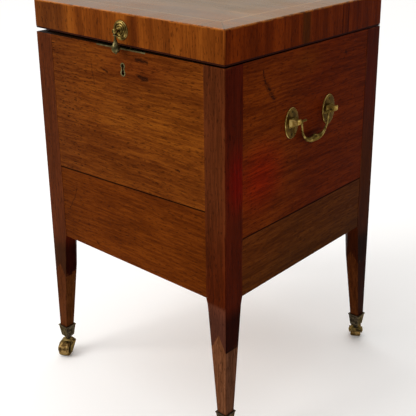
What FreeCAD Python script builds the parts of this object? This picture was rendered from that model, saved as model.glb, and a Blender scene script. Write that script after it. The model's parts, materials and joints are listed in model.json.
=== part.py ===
import FreeCAD, Part
import math
import os
from FreeCAD import Placement, Rotation, Vector

# A square cellarette: a deep box on four tapering legs, with a hinged lid, a lock,
# a drop pull, two carrying handles and four castors. Sizes are millimetres.
# +X is the right side, -Y the front and +Z up. The origin is on the floor, under
# the middle of the case.

# ---- Case ----
case_width = 424.0              # over the stiles, left to right
case_depth = 416.0              # front face to back face
case_clear = 259.7              # floor to the underside of the boards
case_height = 372.0             # underside of the boards to the rim
board_thickness = 15.0
board_setback = 0.4             # boards stand back from the faces of the stiles
end_tongue = 8.0                # length of a board's end tongue, in its stile
end_tongue_thickness = 6.0
seam_gap = 1.2                  # shrinkage gap between an upper and a lower board
seam_tongue = 6.0               # height of the tongue that closes the seam
seam_tongue_thickness = 5.0
# Height of each seam above the underside, at its left and right end, seen from outside.
seam_rise = {
    "front": (136.0, 145.7),
    "right": (98.3, 98.3),
    "back": (110.0, 110.0),
    "left": (98.3, 98.3),
}

# ---- Legs ----
leg_section = 40.0              # square stile, beside the boards
leg_shoulder = 11.0             # height of the step below the case
leg_taper_top = 37.0            # square below the step
leg_toe = 18.6                  # square where the leg enters its castor cup
leg_toe_inset = 2.3             # how far each face of the toe leans in, inside the cup
leg_arris = 1.2                 # rounding of the outer corner
chamfer_top = 14.0              # inner corner chamfer just below the case
chamfer_middle = 6.0
chamfer_toe = 1.0
chamfer_middle_drop = 72.0      # underside of the case to the middle of the chamfer
# Height below the case of each splice, at its sides and at its peak.
splice_drop = {
    "front_left": (88.0, 66.5),
    "front_right": (85.0, 57.5),
    "rear_left": (86.0, 62.0),
    "rear_right": (81.0, 57.5),
}

# ---- Inside ----
floor_rise = 8.0                # underside of the case to the underside of its floor
floor_thickness = 10.0
floor_housing = 4.0             # how far the floor enters the boards
divider_thickness = 9.0
divider_height = 215.0
across_cell_count = 3
deep_cell_count = 3

# ---- Lid ----
lid_rise = 55.3                 # rim of the case to the top of the lid
lid_gap = 1.3                   # open joint at the back
lid_cast_left = 5.6             # extra opening at the front left corner: the lid is warped
lid_cast_right = 1.0            # extra opening at the front right corner
rail_thickness = 15.0
lip_height = 2.8                # bare strip along the bottom of each rail
lip_setback = 0.7
lid_board_thickness = 14.0
band_width = 38.0
band_thickness = 1.5
band_arris = 0.9

# ---- Hinges ----
hinge_length = 60.0
hinge_spread = 240.0            # between the middles of the two hinges
hinge_leaf_depth = 13.0
hinge_leaf_thickness = 1.6
knuckle_radius = 3.2
knuckle_count = 5
knuckle_gap = 0.25
hinge_pin_radius = 1.5
hinge_fit = 0.05                # radial clearance of the pin in the lid's knuckles
hinge_pin_grip = 0.02           # and in the case's knuckles
hinge_standoff = 0.3            # wood to knuckle
stop_height = 1.8
stop_thickness = 1.6
stop_lift = 0.2                 # stop bar clear of the other leaf's knuckles
stop_root = 0.6
stop_direction = -30.0          # the case's stop bar, degrees above straight back
lid_opening = 95.0
stop_slack = 0.5                # degrees left between the bars at full opening

# ---- Lock ----
lock_x = -1.5
selvedge_length = 111.0
selvedge_thickness = 2.0
lock_width = 70.0
lock_height = 52.0
lock_plate_thickness = 1.8
lock_case_width = 60.0
lock_case_height = 46.0
lock_case_wall = 1.2
lock_case_front = 5.0           # face of the board to the front of the lock case
pocket_clearance = 0.5
key_offset = 4.2                # keyhole to the middle of the lock
key_drop = 33.7                 # rim to the middle of the keyhole
key_pin_radius = 1.3
loop_spacing = 32.0
loop_thickness = 2.2
loop_width = 5.0
loop_front = 8.0                # face of the case to the front of a loop
loop_reach = 15.0               # rim to the bottom of a loop
loop_eye_height = 5.0
loop_eye_width = 2.7
loop_wall = 1.3                 # below and in front of the eye
loop_clearance = 0.8
link_half_length = 30.0
link_thickness = 1.8
link_front = 2.5
link_depth = 11.0
loop_stand = 0.3                # loops stand on the bolt's bar when the lid is shut
bolt_travel = 5.5
bolt_end_gap = 0.2              # bar to the lock case at either end of its travel
bolt_bar_height = 7.0
bolt_clearance = 0.3
bolt_finger = 5.0
bolt_finger_height = 3.4
bolt_finger_thickness = 1.9
bolt_finger_gap = 0.8           # finger to loop, unlocked
bolt_upright = 4.0
bolt_talon_width = 6.0          # notch that the key turns in
bolt_talon_height = 2.6
staple_offset = -7.0            # middle of the lock to the middle of the bolt's staple
staple_width = 10.0
staple_wall = 1.2

# ---- Escutcheon ----
keyhole_top_radius = 3.3
keyhole_top_rise = 5.9          # middle of the keyhole to the middle of its round top
keyhole_waist = 2.0             # half width
keyhole_foot_radius = 3.7
keyhole_foot_drop = 5.6
thread_width = 1.7              # brass line round the keyhole
thread_thickness = 2.3
thread_proud = 0.3

# ---- Pull ----
pull_x = 3.0
pull_drop = 27.0                # lid top to the pull's pivot
rosette_radius = 15.5
rosette_plate = 1.6
rosette_outer_bead = 12.4
rosette_outer_bead_radius = 2.0
rosette_inner_bead = 7.9
rosette_inner_bead_radius = 1.6
rosette_boss_radius = 4.6
rosette_boss = 5.6
pull_standoff = 12.2            # frieze to pivot
pull_stem_radius = 2.3
pull_shank_radius = 1.6
pull_ball_radius = 4.7
pull_washer_radius = 4.0
pull_washer = 1.2
pull_slot = 2.6
pull_slot_top = 2.6             # slot above the pivot, which stops the drop when raised
pull_slot_back = 3.2            # slot behind the pivot
pull_pin_radius = 1.0
pull_fit = 0.06
tongue_thickness = 2.0
tongue_radius = 2.2
collar_radius = 3.4
collar_top = 5.3                # pivot to the collar
collar_height = 1.3
# The pear's outline: radius, and distance below its collar.
pear_outline = [(1.6, 0.0), (2.2, 5.5), (4.6, 12.9), (6.8, 20.4), (5.4, 24.8), (1.4, 27.2)]
pear_finial_radius = 1.7

# ---- Handles ----
handle_drop = 115.5             # rim to the handle's pivot
handle_offset = 2.8             # towards the back
handle_post_spacing = 102.4
handle_plate_drop = 1.2         # pivot to the middle of a plate
handle_plate_height = 51.0
handle_plate_width = 34.0
handle_plate_thickness = 1.8
handle_plate_edge = 0.8
post_base_half = 7.5
post_half = 4.3
post_flare = 12.5               # height of the flared base
post_height = 16.8
post_end_half = 3.2
post_end = 1.4
post_climb = 4.5                # the post's end is higher than its base
trunnion_standoff = 10.2
trunnion_radius = 1.9
trunnion_fit = 0.07
trunnion_depth = 7.2            # into the post
trunnion_tail = 10.0            # past the arm, towards the middle
trunnion_end_gap = 0.3
bail_half_span = 36.5
bail_drop = 37.0
bail_squareness = 2.7           # exponent of the bail's curve
bail_arm_radius = 1.75
bail_grip_radius = 4.7
bail_swell = 5                  # exponent of the swelling: a high one keeps the arms thin
bail_flatness = 0.95            # thickness of the bail over its height
bail_ridge = 3.0                # rise of the grip's upper edge, at its middle
bail_ridge_spread = 6.0
bail_elbow_radius = 2.5         # where an arm meets its trunnion
bail_section_count = 21
bail_crowding = 1.5             # exponent that sets the sections closer in the middle
bail_oval_points = 12
handle_screw_offset = 19.0

# ---- Castors ----
wheel_diameter = 26.0
wheel_width = 20.0
wheel_edge = 3.2                # rounding of the tread's edges
wheel_recess = 0.9
wheel_recess_radius = 8.5
wheel_hub_radius = 4.2
axle_radius = 2.0
axle_fit = 0.06
axle_head_radius = 3.1
axle_head = 0.9
fork_trail = 15.0
fork_gap = 0.4                  # beside the wheel
fork_wheel_gap = 1.2            # round the wheel
horn_thickness = 2.8
horn_end_radius = 6.0
crown_rise = 2.0                # top of the wheel to the top of the fork
crown_depth = 6.5
crown_back = 6.4
crown_front = 4.0
crown_half = 4.6                # half width of the fork's top
crown_shoulder = 5.0
pintle_radius = 2.5
pintle_fit = 0.06
pintle_length = 11.5            # fork's top to the top of the pintle's head
pintle_head_radius = 3.5
pintle_head = 1.5
pintle_head_clearance = 0.4
swivel_gap = 0.3
cup_neck_radius = 4.2
cup_neck = 2.2
cup_shoulder = 5.5
cup_shoulder_half = 3.9
cup_foot_half = 8.35
cup_body = 20.5
cup_wall = 1.7                  # at the rim
cup_rim = 2.5
cup_rim_flare = 1.0
cup_pocket = 18.0               # depth of the leg's toe in the cup
# The way each castor trails, in degrees from +X.
castor_turn = {
    "front_left": -62.0,
    "front_right": -128.0,
    "rear_left": 48.0,
    "rear_right": 120.0,
}

# ---- Screws ----
screw_head_radius = 2.7
screw_head = 1.6
screw_radius = 1.3
screw_length = 11.0
screw_slot = 0.7
screw_slot_depth = 0.6
hinge_screw_pitch = 20.0
lock_screw_inset = 6.0

# ---- Worked out from the sizes above ----
case_top = case_clear + case_height
lid_top = case_top + lid_rise
half_width = case_width / 2
half_depth = case_depth / 2
board_inside = board_setback + board_thickness
wheel_radius = wheel_diameter / 2
crown_top = wheel_diameter + crown_rise
cup_bottom = crown_top + swivel_gap
cup_shoulder_bottom = cup_bottom + cup_neck
cup_foot = cup_shoulder_bottom + cup_shoulder
cup_rim_bottom = cup_foot + cup_body
cup_top = cup_rim_bottom + cup_rim
cup_floor = cup_top - cup_pocket
floor_top = case_clear + floor_rise + floor_thickness
hinge_y = half_depth + hinge_standoff + knuckle_radius
hinge_z = case_top + lid_gap / 2
pull_y = -half_depth - pull_standoff
pull_z = lid_top - pull_drop
handle_z = case_top - handle_drop
lock_plate_front = board_inside - lock_plate_thickness
bolt_front = loop_front + loop_wall + (loop_eye_width - bolt_finger_thickness) / 2
bolt_back = lock_plate_front - bolt_clearance
bolt_bar_top = case_top - loop_reach - loop_stand
bolt_bar_bottom = bolt_bar_top - bolt_bar_height
collar_bottom = collar_top + collar_height
far = 2 * (case_width + case_depth + lid_top)
over = 1.0                      # how far a cut runs past a face

# Turn about Z, distance of the outer face from the middle, and half the side's length.
# Each side is drawn as if it were the front and then turned.
sides = {
    "front": (0.0, half_depth, half_width),
    "right": (90.0, half_width, half_depth),
    "back": (180.0, half_depth, half_width),
    "left": (270.0, half_width, half_depth),
}
corners = {
    "front_left": (-1, -1),
    "front_right": (1, -1),
    "rear_left": (-1, 1),
    "rear_right": (1, 1),
}
# Height of the lid's lower edge above the rim, at the left and right end of each side.
lid_edge_rise = {
    "front": (lid_gap + lid_cast_left, lid_gap + lid_cast_right),
    "right": (lid_gap + lid_cast_right, lid_gap),
    "back": (lid_gap, lid_gap),
    "left": (lid_gap, lid_gap + lid_cast_left),
}

parts = {}


# ---- Small tools ----

def box(x0, x1, y0, y1, z0, z1):
    return Part.makeBox(x1 - x0, y1 - y0, z1 - z0, Vector(x0, y0, z0))


def rod(radius, start, end):
    """A round bar from one point to another."""
    axis = end.sub(start)
    return Part.makeCylinder(radius, axis.Length, start, axis)


def prism(points, push):
    """A flat outline, pushed along a direction."""
    wire = Part.makePolygon(points + points[:1])
    return Part.Face(wire).extrude(push)


def fuse(shapes):
    whole = shapes[0]
    if len(shapes) > 1:
        whole = whole.fuse(shapes[1:])
    return whole.removeSplitter()


def turned(shape, angle, centre=Vector(0, 0, 0), axis=Vector(0, 0, 1)):
    moved = shape.copy()
    moved.rotate(centre, axis, angle)
    return moved


def on_side(shape, side):
    return turned(shape, sides[side][0])


def elevation(side, outline, depth_0, depth_1):
    """A piece of one side, from its outline (along, up), between two depths from its face."""
    face_y = -sides[side][1]
    points = [Vector(u, face_y + depth_0, z) for u, z in outline]
    return prism(points, Vector(0, depth_1 - depth_0, 0))


def square_column(stations, lean=0.0):
    """A column along +Z whose square section changes at each station (height, half width).

    The lean is how far it moves towards +Y over each unit of height.
    """
    right_edge = [(half, z) for z, half in stations]
    left_edge = [(-half, z) for z, half in reversed(stations)]
    outline = right_edge + left_edge
    along_y = prism([Vector(u, -far, z) for u, z in outline], Vector(0, 2 * far, 0))
    along_x = prism([Vector(-far, u + lean * z, z) for u, z in outline], Vector(2 * far, 0, 0))
    return along_y.common(along_x)


def standing_out(shape, x, y, z):
    """Lay a shape that was drawn along +Z so that it points out of the front face."""
    laid = shape.copy()
    laid.Placement = Placement(Vector(x, y, z), Rotation(Vector(1, 0, 0), 90))
    return laid


def corner_round(sign_x, sign_y, radius, z_0, z_1):
    """What is cut away to round an outer vertical corner."""
    x = sign_x * half_width
    y = sign_y * half_depth
    inner_x = x - sign_x * radius
    inner_y = y - sign_y * radius
    block = box(min(x, inner_x), max(x, inner_x), min(y, inner_y), max(y, inner_y), z_0, z_1)
    return block.cut(rod(radius, Vector(inner_x, inner_y, z_0), Vector(inner_x, inner_y, z_1)))


def screw(place, inward, slot_angle):
    """A slotted countersunk screw, and the same screw with no slot, for cutting its hole."""
    head = Part.makeCone(screw_head_radius, screw_radius, screw_head)
    shank = Part.makeCylinder(screw_radius, screw_length)
    blank = fuse([head, shank])
    reach = screw_head_radius + over
    slot = box(-reach, reach, -screw_slot / 2, screw_slot / 2, -over, screw_slot_depth)
    slotted = blank.cut(turned(slot, slot_angle))
    placement = Placement(place, Rotation(Vector(0, 0, 1), inward))
    slotted.Placement = placement
    blank.Placement = placement
    return slotted, blank


# ---- Boards ----

def seam_line(side):
    """The two ends of a side's seam, each (along, up)."""
    reach = sides[side][2] - leg_section
    left, right = seam_rise[side]
    return (-reach, case_clear + left), (reach, case_clear + right)


def seam_height(side, along):
    (left_u, left_z), (right_u, right_z) = seam_line(side)
    return left_z + (right_z - left_z) * (along - left_u) / (right_u - left_u)


def seam_strip(side, reach, below, above, depth_0, depth_1):
    """A strip that follows the seam, from some way below it to some way above it."""
    left = seam_height(side, -reach)
    right = seam_height(side, reach)
    outline = [(-reach, left + below), (reach, right + below), (reach, right + above), (-reach, left + above)]
    return elevation(side, outline, depth_0, depth_1)


def board_blank(side):
    """Both boards of a side in one: the panel with a tongue at each end."""
    reach = sides[side][2] - leg_section
    tongue_reach = reach + end_tongue
    tongue_front = board_setback + (board_thickness - end_tongue_thickness) / 2
    panel = [(-reach, case_clear), (reach, case_clear), (reach, case_top), (-reach, case_top)]
    tongue = [(-tongue_reach, case_clear), (tongue_reach, case_clear)]
    tongue += [(tongue_reach, case_top), (-tongue_reach, case_top)]
    return fuse([
        elevation(side, panel, board_setback, board_inside),
        elevation(side, tongue, tongue_front, tongue_front + end_tongue_thickness),
    ])


def board_pair(side):
    """The upper and lower board of a side, tongued together at the seam."""
    blank = board_blank(side)
    reach = sides[side][2] - leg_section
    wide = reach + end_tongue + over
    tongue_front = board_setback + (board_thickness - seam_tongue_thickness) / 2
    tongue_back = tongue_front + seam_tongue_thickness
    above = seam_strip(side, wide, -seam_gap / 2, far, -over, board_inside + over)
    below = seam_strip(side, wide, -far, seam_gap / 2, -over, board_inside + over)
    tongue = seam_strip(side, reach, -seam_gap / 2, seam_tongue, tongue_front, tongue_back)
    lower = fuse([blank.cut(above), tongue])
    upper = blank.cut(below).cut(tongue)
    floor_bottom = case_clear + floor_rise
    groove = [(-reach, floor_bottom), (reach, floor_bottom), (reach, floor_top), (-reach, floor_top)]
    lower = lower.cut(elevation(side, groove, board_inside - floor_housing, board_inside))
    return upper, lower


# ---- Legs ----

def leg_width_at(z):
    top = case_clear - leg_shoulder
    return leg_toe + (leg_taper_top - leg_toe) * (z - cup_top) / (top - cup_top)


def leg_blank(sign_x, sign_y):
    """Square stile above, tapering on its two inner faces below, with a toe for the cup."""
    outline = [
        (leg_toe_inset, cup_floor),
        (0, cup_top),
        (0, case_top),
        (leg_section, case_top),
        (leg_section, case_clear),
        (leg_taper_top, case_clear - leg_shoulder),
        (leg_toe, cup_top),
        (leg_toe - leg_toe_inset, cup_floor),
    ]
    face_x = [Vector(sign_x * (half_width - a), -far, z) for a, z in outline]
    face_y = [Vector(-far, sign_y * (half_depth - a), z) for a, z in outline]
    blank = prism(face_x, Vector(0, 2 * far, 0)).common(prism(face_y, Vector(2 * far, 0, 0)))
    return blank.cut(corner_round(sign_x, sign_y, leg_arris, cup_top, case_top))


def leg_chamfer(sign_x, sign_y):
    """What is cut from the leg's inner corner, a chamfer that dies away downwards."""
    top = case_clear - leg_shoulder
    middle = case_clear - chamfer_middle_drop
    root = math.sqrt(2)
    stations = [
        (case_clear, root * leg_taper_top - chamfer_top / root),
        (top, root * leg_taper_top - chamfer_top / root),
        (middle, root * leg_width_at(middle) - chamfer_middle / root),
        (cup_top, root * leg_toe - chamfer_toe / root),
    ]
    outline = [(root * leg_section + over, case_clear)] + [(r, z) for z, r in stations]
    outline.append((root * leg_section + over, cup_top))
    inward = Vector(-sign_x, -sign_y, 0).normalize()
    across = Vector(-sign_x, sign_y, 0).normalize()
    start = Vector(sign_x * half_width, sign_y * half_depth, 0).sub(across * leg_section)
    points = [start + inward * r + Vector(0, 0, z) for r, z in outline]
    return prism(points, across * (2 * leg_section))


def leg_grooves(sign_x, sign_y):
    """Grooves for the end tongues of the two boards that meet at a leg."""
    near = board_setback + (board_thickness - end_tongue_thickness) / 2
    far_side = near + end_tongue_thickness
    start = leg_section - end_tongue
    grooves = []
    for a_0, a_1, b_0, b_1 in ((start, leg_section, near, far_side), (near, far_side, start, leg_section)):
        xs = sorted([sign_x * (half_width - a_0), sign_x * (half_width - a_1)])
        ys = sorted([sign_y * (half_depth - b_0), sign_y * (half_depth - b_1)])
        grooves.append(box(xs[0], xs[1], ys[0], ys[1], case_clear, case_top))
    return fuse(grooves)


def make_leg(corner):
    """A leg, and its tip, which is spliced on with a bird's mouth that shows in front."""
    sign_x, sign_y = corners[corner]
    whole = leg_blank(sign_x, sign_y)
    whole = whole.cut(leg_chamfer(sign_x, sign_y)).cut(leg_grooves(sign_x, sign_y))
    side_drop, peak_drop = splice_drop[corner]
    side_z = case_clear - side_drop
    peak_z = case_clear - peak_drop
    width = leg_width_at(side_z)
    outline = [(-over, 0), (-over, side_z), (0, side_z), (width / 2, peak_z), (width, side_z)]
    outline += [(leg_section + over, side_z), (leg_section + over, 0)]
    points = [Vector(sign_x * (half_width - a), -far, z) for a, z in outline]
    below = prism(points, Vector(0, 2 * far, 0))
    parts["leg_" + corner] = whole.cut(below)
    parts["leg_tip_" + corner] = whole.common(below)


# ---- Inside ----

def make_floor():
    """The case's floor, housed in the boards and notched round the stiles."""
    x = half_width - board_inside + floor_housing
    y = half_depth - board_inside + floor_housing
    floor = box(-x, x, -y, y, case_clear + floor_rise, floor_top)
    for sign_x, sign_y in corners.values():
        notch_x = sorted([sign_x * half_width, sign_x * (half_width - leg_section)])
        notch_y = sorted([sign_y * half_depth, sign_y * (half_depth - leg_section)])
        floor = floor.cut(box(notch_x[0], notch_x[1], notch_y[0], notch_y[1], 0, case_top))
    parts["case_floor"] = floor


def divider_places(inner_half, cells):
    """Middles of the dividers that part a length into equal cells."""
    cell = (2 * inner_half - (cells - 1) * divider_thickness) / cells
    return [-inner_half + (i + 1) * cell + (i + 0.5) * divider_thickness for i in range(cells - 1)]


def make_dividers():
    """Bottle dividers, halved over each other where they cross."""
    inner_x = half_width - board_inside
    inner_y = half_depth - board_inside
    half = divider_thickness / 2
    top = floor_top + divider_height
    middle = floor_top + divider_height / 2
    across = [box(-inner_x, inner_x, y - half, y + half, floor_top, top)
              for y in divider_places(inner_y, deep_cell_count)]
    along = [box(x - half, x + half, -inner_y, inner_y, floor_top, top)
             for x in divider_places(inner_x, across_cell_count)]
    upper_half = box(-far, far, -far, far, middle, far)
    lower_half = box(-far, far, -far, far, -far, middle)
    for number, divider in enumerate(across, 1):
        for other in along:
            divider = divider.cut(other.common(upper_half))
        parts["divider_across_%d" % number] = divider
    for number, divider in enumerate(along, 1):
        for other in across:
            divider = divider.cut(other.common(lower_half))
        parts["divider_along_%d" % number] = divider


# ---- Lid ----

def lid_edge(side, along):
    """Height of the lid's lower edge at a place along one side."""
    half_length = sides[side][2]
    left, right = lid_edge_rise[side]
    return case_top + left + (right - left) * (along + half_length) / (2 * half_length)


def mitre_plan(side, thickness, z_0, z_1):
    """A mitred strip seen from above, as deep as the given thickness."""
    reach = sides[side][2]
    face_y = -sides[side][1]
    points = [
        Vector(-reach, face_y, z_0),
        Vector(reach, face_y, z_0),
        Vector(reach - thickness, face_y + thickness, z_0),
        Vector(-reach + thickness, face_y + thickness, z_0),
    ]
    return prism(points, Vector(0, 0, z_1 - z_0))


def lid_rail(side):
    """A mitred rail, whose lower edge is out of true and ends in a bare lip."""
    reach = sides[side][2]
    rail_top = lid_top - band_thickness
    left = lid_edge(side, -reach)
    right = lid_edge(side, reach)
    outline = [(-reach, left), (reach, right), (reach, rail_top), (-reach, rail_top)]
    lip = [(-reach, left), (reach, right), (reach, right + lip_height), (-reach, left + lip_height)]
    rail = elevation(side, outline, 0, rail_thickness)
    rail = rail.common(mitre_plan(side, rail_thickness, case_top, lid_top))
    return rail.cut(elevation(side, lip, 0, lip_setback))


def make_crossbanding():
    """Four mitred bands let in round the top of the lid."""
    z_0 = lid_top - band_thickness
    sheet = box(-half_width, half_width, -half_depth, half_depth, z_0, lid_top)
    for sign_x, sign_y in corners.values():
        sheet = sheet.cut(corner_round(sign_x, sign_y, leg_arris, z_0, lid_top))
    rim = [edge for edge in sheet.Edges if edge.BoundBox.ZMin > lid_top - band_arris]
    sheet = sheet.makeFillet(band_arris, rim)
    bands = []
    for side in sides:
        plan = on_side(mitre_plan(side, band_width, z_0, lid_top), side)
        bands.append(sheet.common(plan))
    parts["lid_crossbanding"] = Part.makeCompound(bands)


def make_lid_board():
    """The lid's top board, rebated for the crossbanding."""
    x = half_width - rail_thickness
    y = half_depth - rail_thickness
    field_x = half_width - band_width
    field_y = half_depth - band_width
    z_0 = lid_top - lid_board_thickness
    rebate_z = lid_top - band_thickness
    board = box(-x, x, -y, y, z_0, rebate_z)
    parts["lid_top_board"] = fuse([board, box(-field_x, field_x, -field_y, field_y, rebate_z, lid_top)])


# ---- Hinges ----

def hinge_places():
    return {"left": -hinge_spread / 2, "right": hinge_spread / 2}


def knuckle_spans(middle, of_lid):
    """The stretches of a hinge's barrel that belong to one leaf."""
    pitch = hinge_length / knuckle_count
    spans = []
    for i in range(knuckle_count):
        if (i % 2 == 1) == of_lid:
            start = middle - hinge_length / 2 + i * pitch
            spans.append((start + knuckle_gap / 2, start + pitch - knuckle_gap / 2))
    return spans


def stop_bar(x_0, x_1, radius_0, radius_1, direction):
    """A bar along the barrel, standing out of it in the given direction."""
    half = stop_thickness / 2
    bar = box(x_0, x_1, radius_0, radius_1, -half, half)
    bar.rotate(Vector(0, 0, 0), Vector(1, 0, 0), direction)
    bar.translate(Vector(0, hinge_y, hinge_z))
    return bar


def lid_stop_direction():
    """Where the lid's stop bar stands at rest, to meet the case's bar at full opening."""
    inner = knuckle_radius + stop_lift
    touching = 2 * math.degrees(math.asin(stop_thickness / 2 / inner))
    return stop_direction + touching + lid_opening + stop_slack


def hinge_leaf(middle, of_lid):
    """A leaf, its knuckles and its stop bar."""
    half = hinge_length / 2
    z_0 = case_top + lid_gap if of_lid else case_top - hinge_leaf_thickness
    z_1 = z_0 + hinge_leaf_thickness
    direction = lid_stop_direction() if of_lid else stop_direction
    inner = knuckle_radius + stop_lift
    pieces = [
        box(middle - half, middle + half, half_depth - hinge_leaf_depth, half_depth, z_0, z_1),
        stop_bar(middle - half, middle + half, inner, inner + stop_height, direction),
    ]
    for x_0, x_1 in knuckle_spans(middle, of_lid):
        pieces.append(rod(knuckle_radius, Vector(x_0, hinge_y, hinge_z), Vector(x_1, hinge_y, hinge_z)))
        pieces.append(box(x_0, x_1, half_depth - over, hinge_y, z_0, z_1))
        pieces.append(stop_bar(x_0, x_1, knuckle_radius - stop_root, inner + stop_lift, direction))
    clearance = hinge_fit if of_lid else hinge_pin_grip
    bore = rod(hinge_pin_radius + clearance,
               Vector(middle - hinge_length, hinge_y, hinge_z),
               Vector(middle + hinge_length, hinge_y, hinge_z))
    return fuse(pieces).cut(bore)


def hinge_screws(middle, of_lid):
    """Three screws through each leaf."""
    y = half_depth - hinge_leaf_depth / 2
    pitches = (-hinge_screw_pitch, 0, hinge_screw_pitch)
    if of_lid:
        return [screw(Vector(middle + u, y, case_top + lid_gap), Vector(0, 0, 1), 20 + u) for u in pitches]
    return [screw(Vector(middle + u, y, case_top), Vector(0, 0, -1), 75 - u) for u in pitches]


# ---- Lock ----

def keyhole(grow, depth_0, depth_1):
    """A keyhole: round above, waisted, with a wider round foot; grown by a margin."""
    x = lock_x + key_offset
    y_0 = -half_depth + depth_0
    y_1 = -half_depth + depth_1
    middle_z = case_top - key_drop
    top_z = middle_z + keyhole_top_rise
    foot_z = middle_z - keyhole_foot_drop
    waist = keyhole_waist + grow
    foot = keyhole_foot_radius + grow
    top = rod(keyhole_top_radius + grow, Vector(x, y_0, top_z), Vector(x, y_1, top_z))
    foot_round = rod(foot, Vector(x, y_0, foot_z), Vector(x, y_1, foot_z))
    outline = [(x - waist, top_z), (x - waist, middle_z), (x - foot, foot_z)]
    outline += [(x + foot, foot_z), (x + waist, middle_z), (x + waist, top_z)]
    throat = prism([Vector(u, y_0, z) for u, z in outline], Vector(0, y_1 - y_0, 0))
    return fuse([top, foot_round, throat])


def loop_places():
    return lock_x - loop_spacing / 2, lock_x + loop_spacing / 2


def front_box(x_0, x_1, depth_0, depth_1, z_0, z_1):
    """A box at the front, between two depths from the face of the case."""
    return box(x_0, x_1, -half_depth + depth_0, -half_depth + depth_1, z_0, z_1)


def lock_screws():
    """Four screws hold the lock's plate to the board, from inside the case."""
    x = lock_width / 2 - lock_screw_inset / 2
    z_top = case_top - lock_screw_inset
    z_bottom = case_top - lock_height + lock_screw_inset / 2
    y = -half_depth + board_inside
    return [screw(Vector(lock_x + u, y, z), Vector(0, -1, 0), 35)
            for u in (-x, x) for z in (z_top, z_bottom)]


def bolt_staple():
    """The staple that holds the bolt's bar to the lock's plate."""
    margin = bolt_clearance + staple_wall
    x_0 = lock_x + staple_offset - staple_width / 2
    x_1 = x_0 + staple_width
    outside = front_box(x_0, x_1, bolt_front - margin, lock_plate_front,
                        bolt_bar_bottom - margin, bolt_bar_top + margin)
    passage = front_box(x_0, x_1, bolt_front - bolt_clearance, lock_plate_front,
                        bolt_bar_bottom - bolt_clearance, bolt_bar_top + bolt_clearance)
    return outside.cut(passage)


def make_lock_plate():
    """The plate with its selvedge, the bolt's staple and the pin for the key."""
    half = lock_width / 2
    under = case_top - selvedge_thickness
    selvedge = front_box(lock_x - selvedge_length / 2, lock_x + selvedge_length / 2,
                         board_setback, lock_plate_front, under, case_top)
    plate = front_box(lock_x - half, lock_x + half, lock_plate_front, board_inside,
                      case_top - lock_height, case_top)
    pin_x = lock_x + key_offset
    pin_z = case_top - key_drop + keyhole_top_rise
    pin = rod(key_pin_radius, Vector(pin_x, -half_depth + lock_plate_front, pin_z),
              Vector(pin_x, -half_depth + thread_thickness, pin_z))
    lock_plate = fuse([selvedge, plate, pin, bolt_staple()])
    for x in loop_places():
        reach = loop_thickness / 2 + loop_clearance
        lock_plate = lock_plate.cut(front_box(x - reach, x + reach, loop_front - loop_clearance,
                                              lock_plate_front, under - over, case_top + over))
    for _, blank in lock_screws():
        lock_plate = lock_plate.cut(blank)
    parts["lock_plate"] = lock_plate


def make_lock_case():
    """The box that encloses the bolt, open to the plate behind it."""
    outer = lock_case_width / 2
    inner = outer - lock_case_wall
    top = case_top - selvedge_thickness
    bottom = top - lock_case_height
    shell = front_box(lock_x - outer, lock_x + outer, lock_case_front, lock_plate_front, bottom, top)
    hollow = front_box(lock_x - inner, lock_x + inner, lock_case_front + lock_case_wall,
                       lock_plate_front, bottom + lock_case_wall, top)
    parts["lock_case"] = shell.cut(hollow).cut(keyhole(0, lock_case_front - over, lock_plate_front))


def make_bolt():
    """A bar with two uprights, whose fingers slide into the loops of the lid."""
    finger_bottom = case_top - loop_reach + loop_wall + (loop_eye_height - bolt_finger_height) / 2
    finger_top = finger_bottom + bolt_finger_height
    tips = [x - loop_thickness / 2 - bolt_finger_gap for x in loop_places()]
    pieces = []
    for tip in tips:
        root = tip - bolt_finger
        pieces.append(front_box(root, tip, bolt_front, bolt_front + bolt_finger_thickness,
                                finger_bottom, finger_top))
        pieces.append(front_box(root - bolt_upright, root, bolt_front, bolt_back,
                                bolt_bar_bottom, finger_top))
    room = lock_case_width / 2 - lock_case_wall - bolt_end_gap
    left = lock_x - room
    right = lock_x + room - bolt_travel
    pieces.append(front_box(left, right, bolt_front, bolt_back, bolt_bar_bottom, bolt_bar_top))
    key_x = lock_x + key_offset
    talon = front_box(key_x - bolt_talon_width / 2, key_x + bolt_talon_width / 2, bolt_front - over,
                      bolt_back + over, bolt_bar_bottom - over, bolt_bar_bottom + bolt_talon_height)
    parts["lock_bolt"] = fuse(pieces).cut(talon)


def make_link_plate():
    """The plate under the lid's front rail, with two eyed loops that enter the lock."""
    z_0 = lid_edge("front", lock_x + link_half_length)
    pieces = [front_box(lock_x - link_half_length, lock_x + link_half_length,
                        link_front, link_front + link_depth, z_0, z_0 + link_thickness)]
    eye_bottom = case_top - loop_reach + loop_wall
    for x in loop_places():
        half = loop_thickness / 2
        loop = front_box(x - half, x + half, loop_front, loop_front + loop_width,
                         case_top - loop_reach, z_0 + link_thickness)
        eye = front_box(x - half - over, x + half + over, loop_front + loop_wall,
                        loop_front + loop_wall + loop_eye_width, eye_bottom, eye_bottom + loop_eye_height)
        pieces.append(loop.cut(eye))
    plate = fuse(pieces)
    for _, blank in link_screws():
        plate = plate.cut(blank)
    parts["link_plate"] = plate


def link_screws():
    z = lid_edge("front", lock_x + link_half_length)
    y = -half_depth + link_front + link_depth / 2
    inset = link_half_length - lock_screw_inset
    return [screw(Vector(lock_x + u, y, z), Vector(0, 0, 1), 50 + u) for u in (-inset, inset)]


def make_escutcheon():
    depth = board_setback - thread_proud
    ring = keyhole(thread_width, depth, depth + thread_thickness)
    parts["escutcheon"] = ring.cut(keyhole(0, depth - over, depth + thread_thickness + over))


# ---- Boards and rails with their cuts ----

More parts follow.
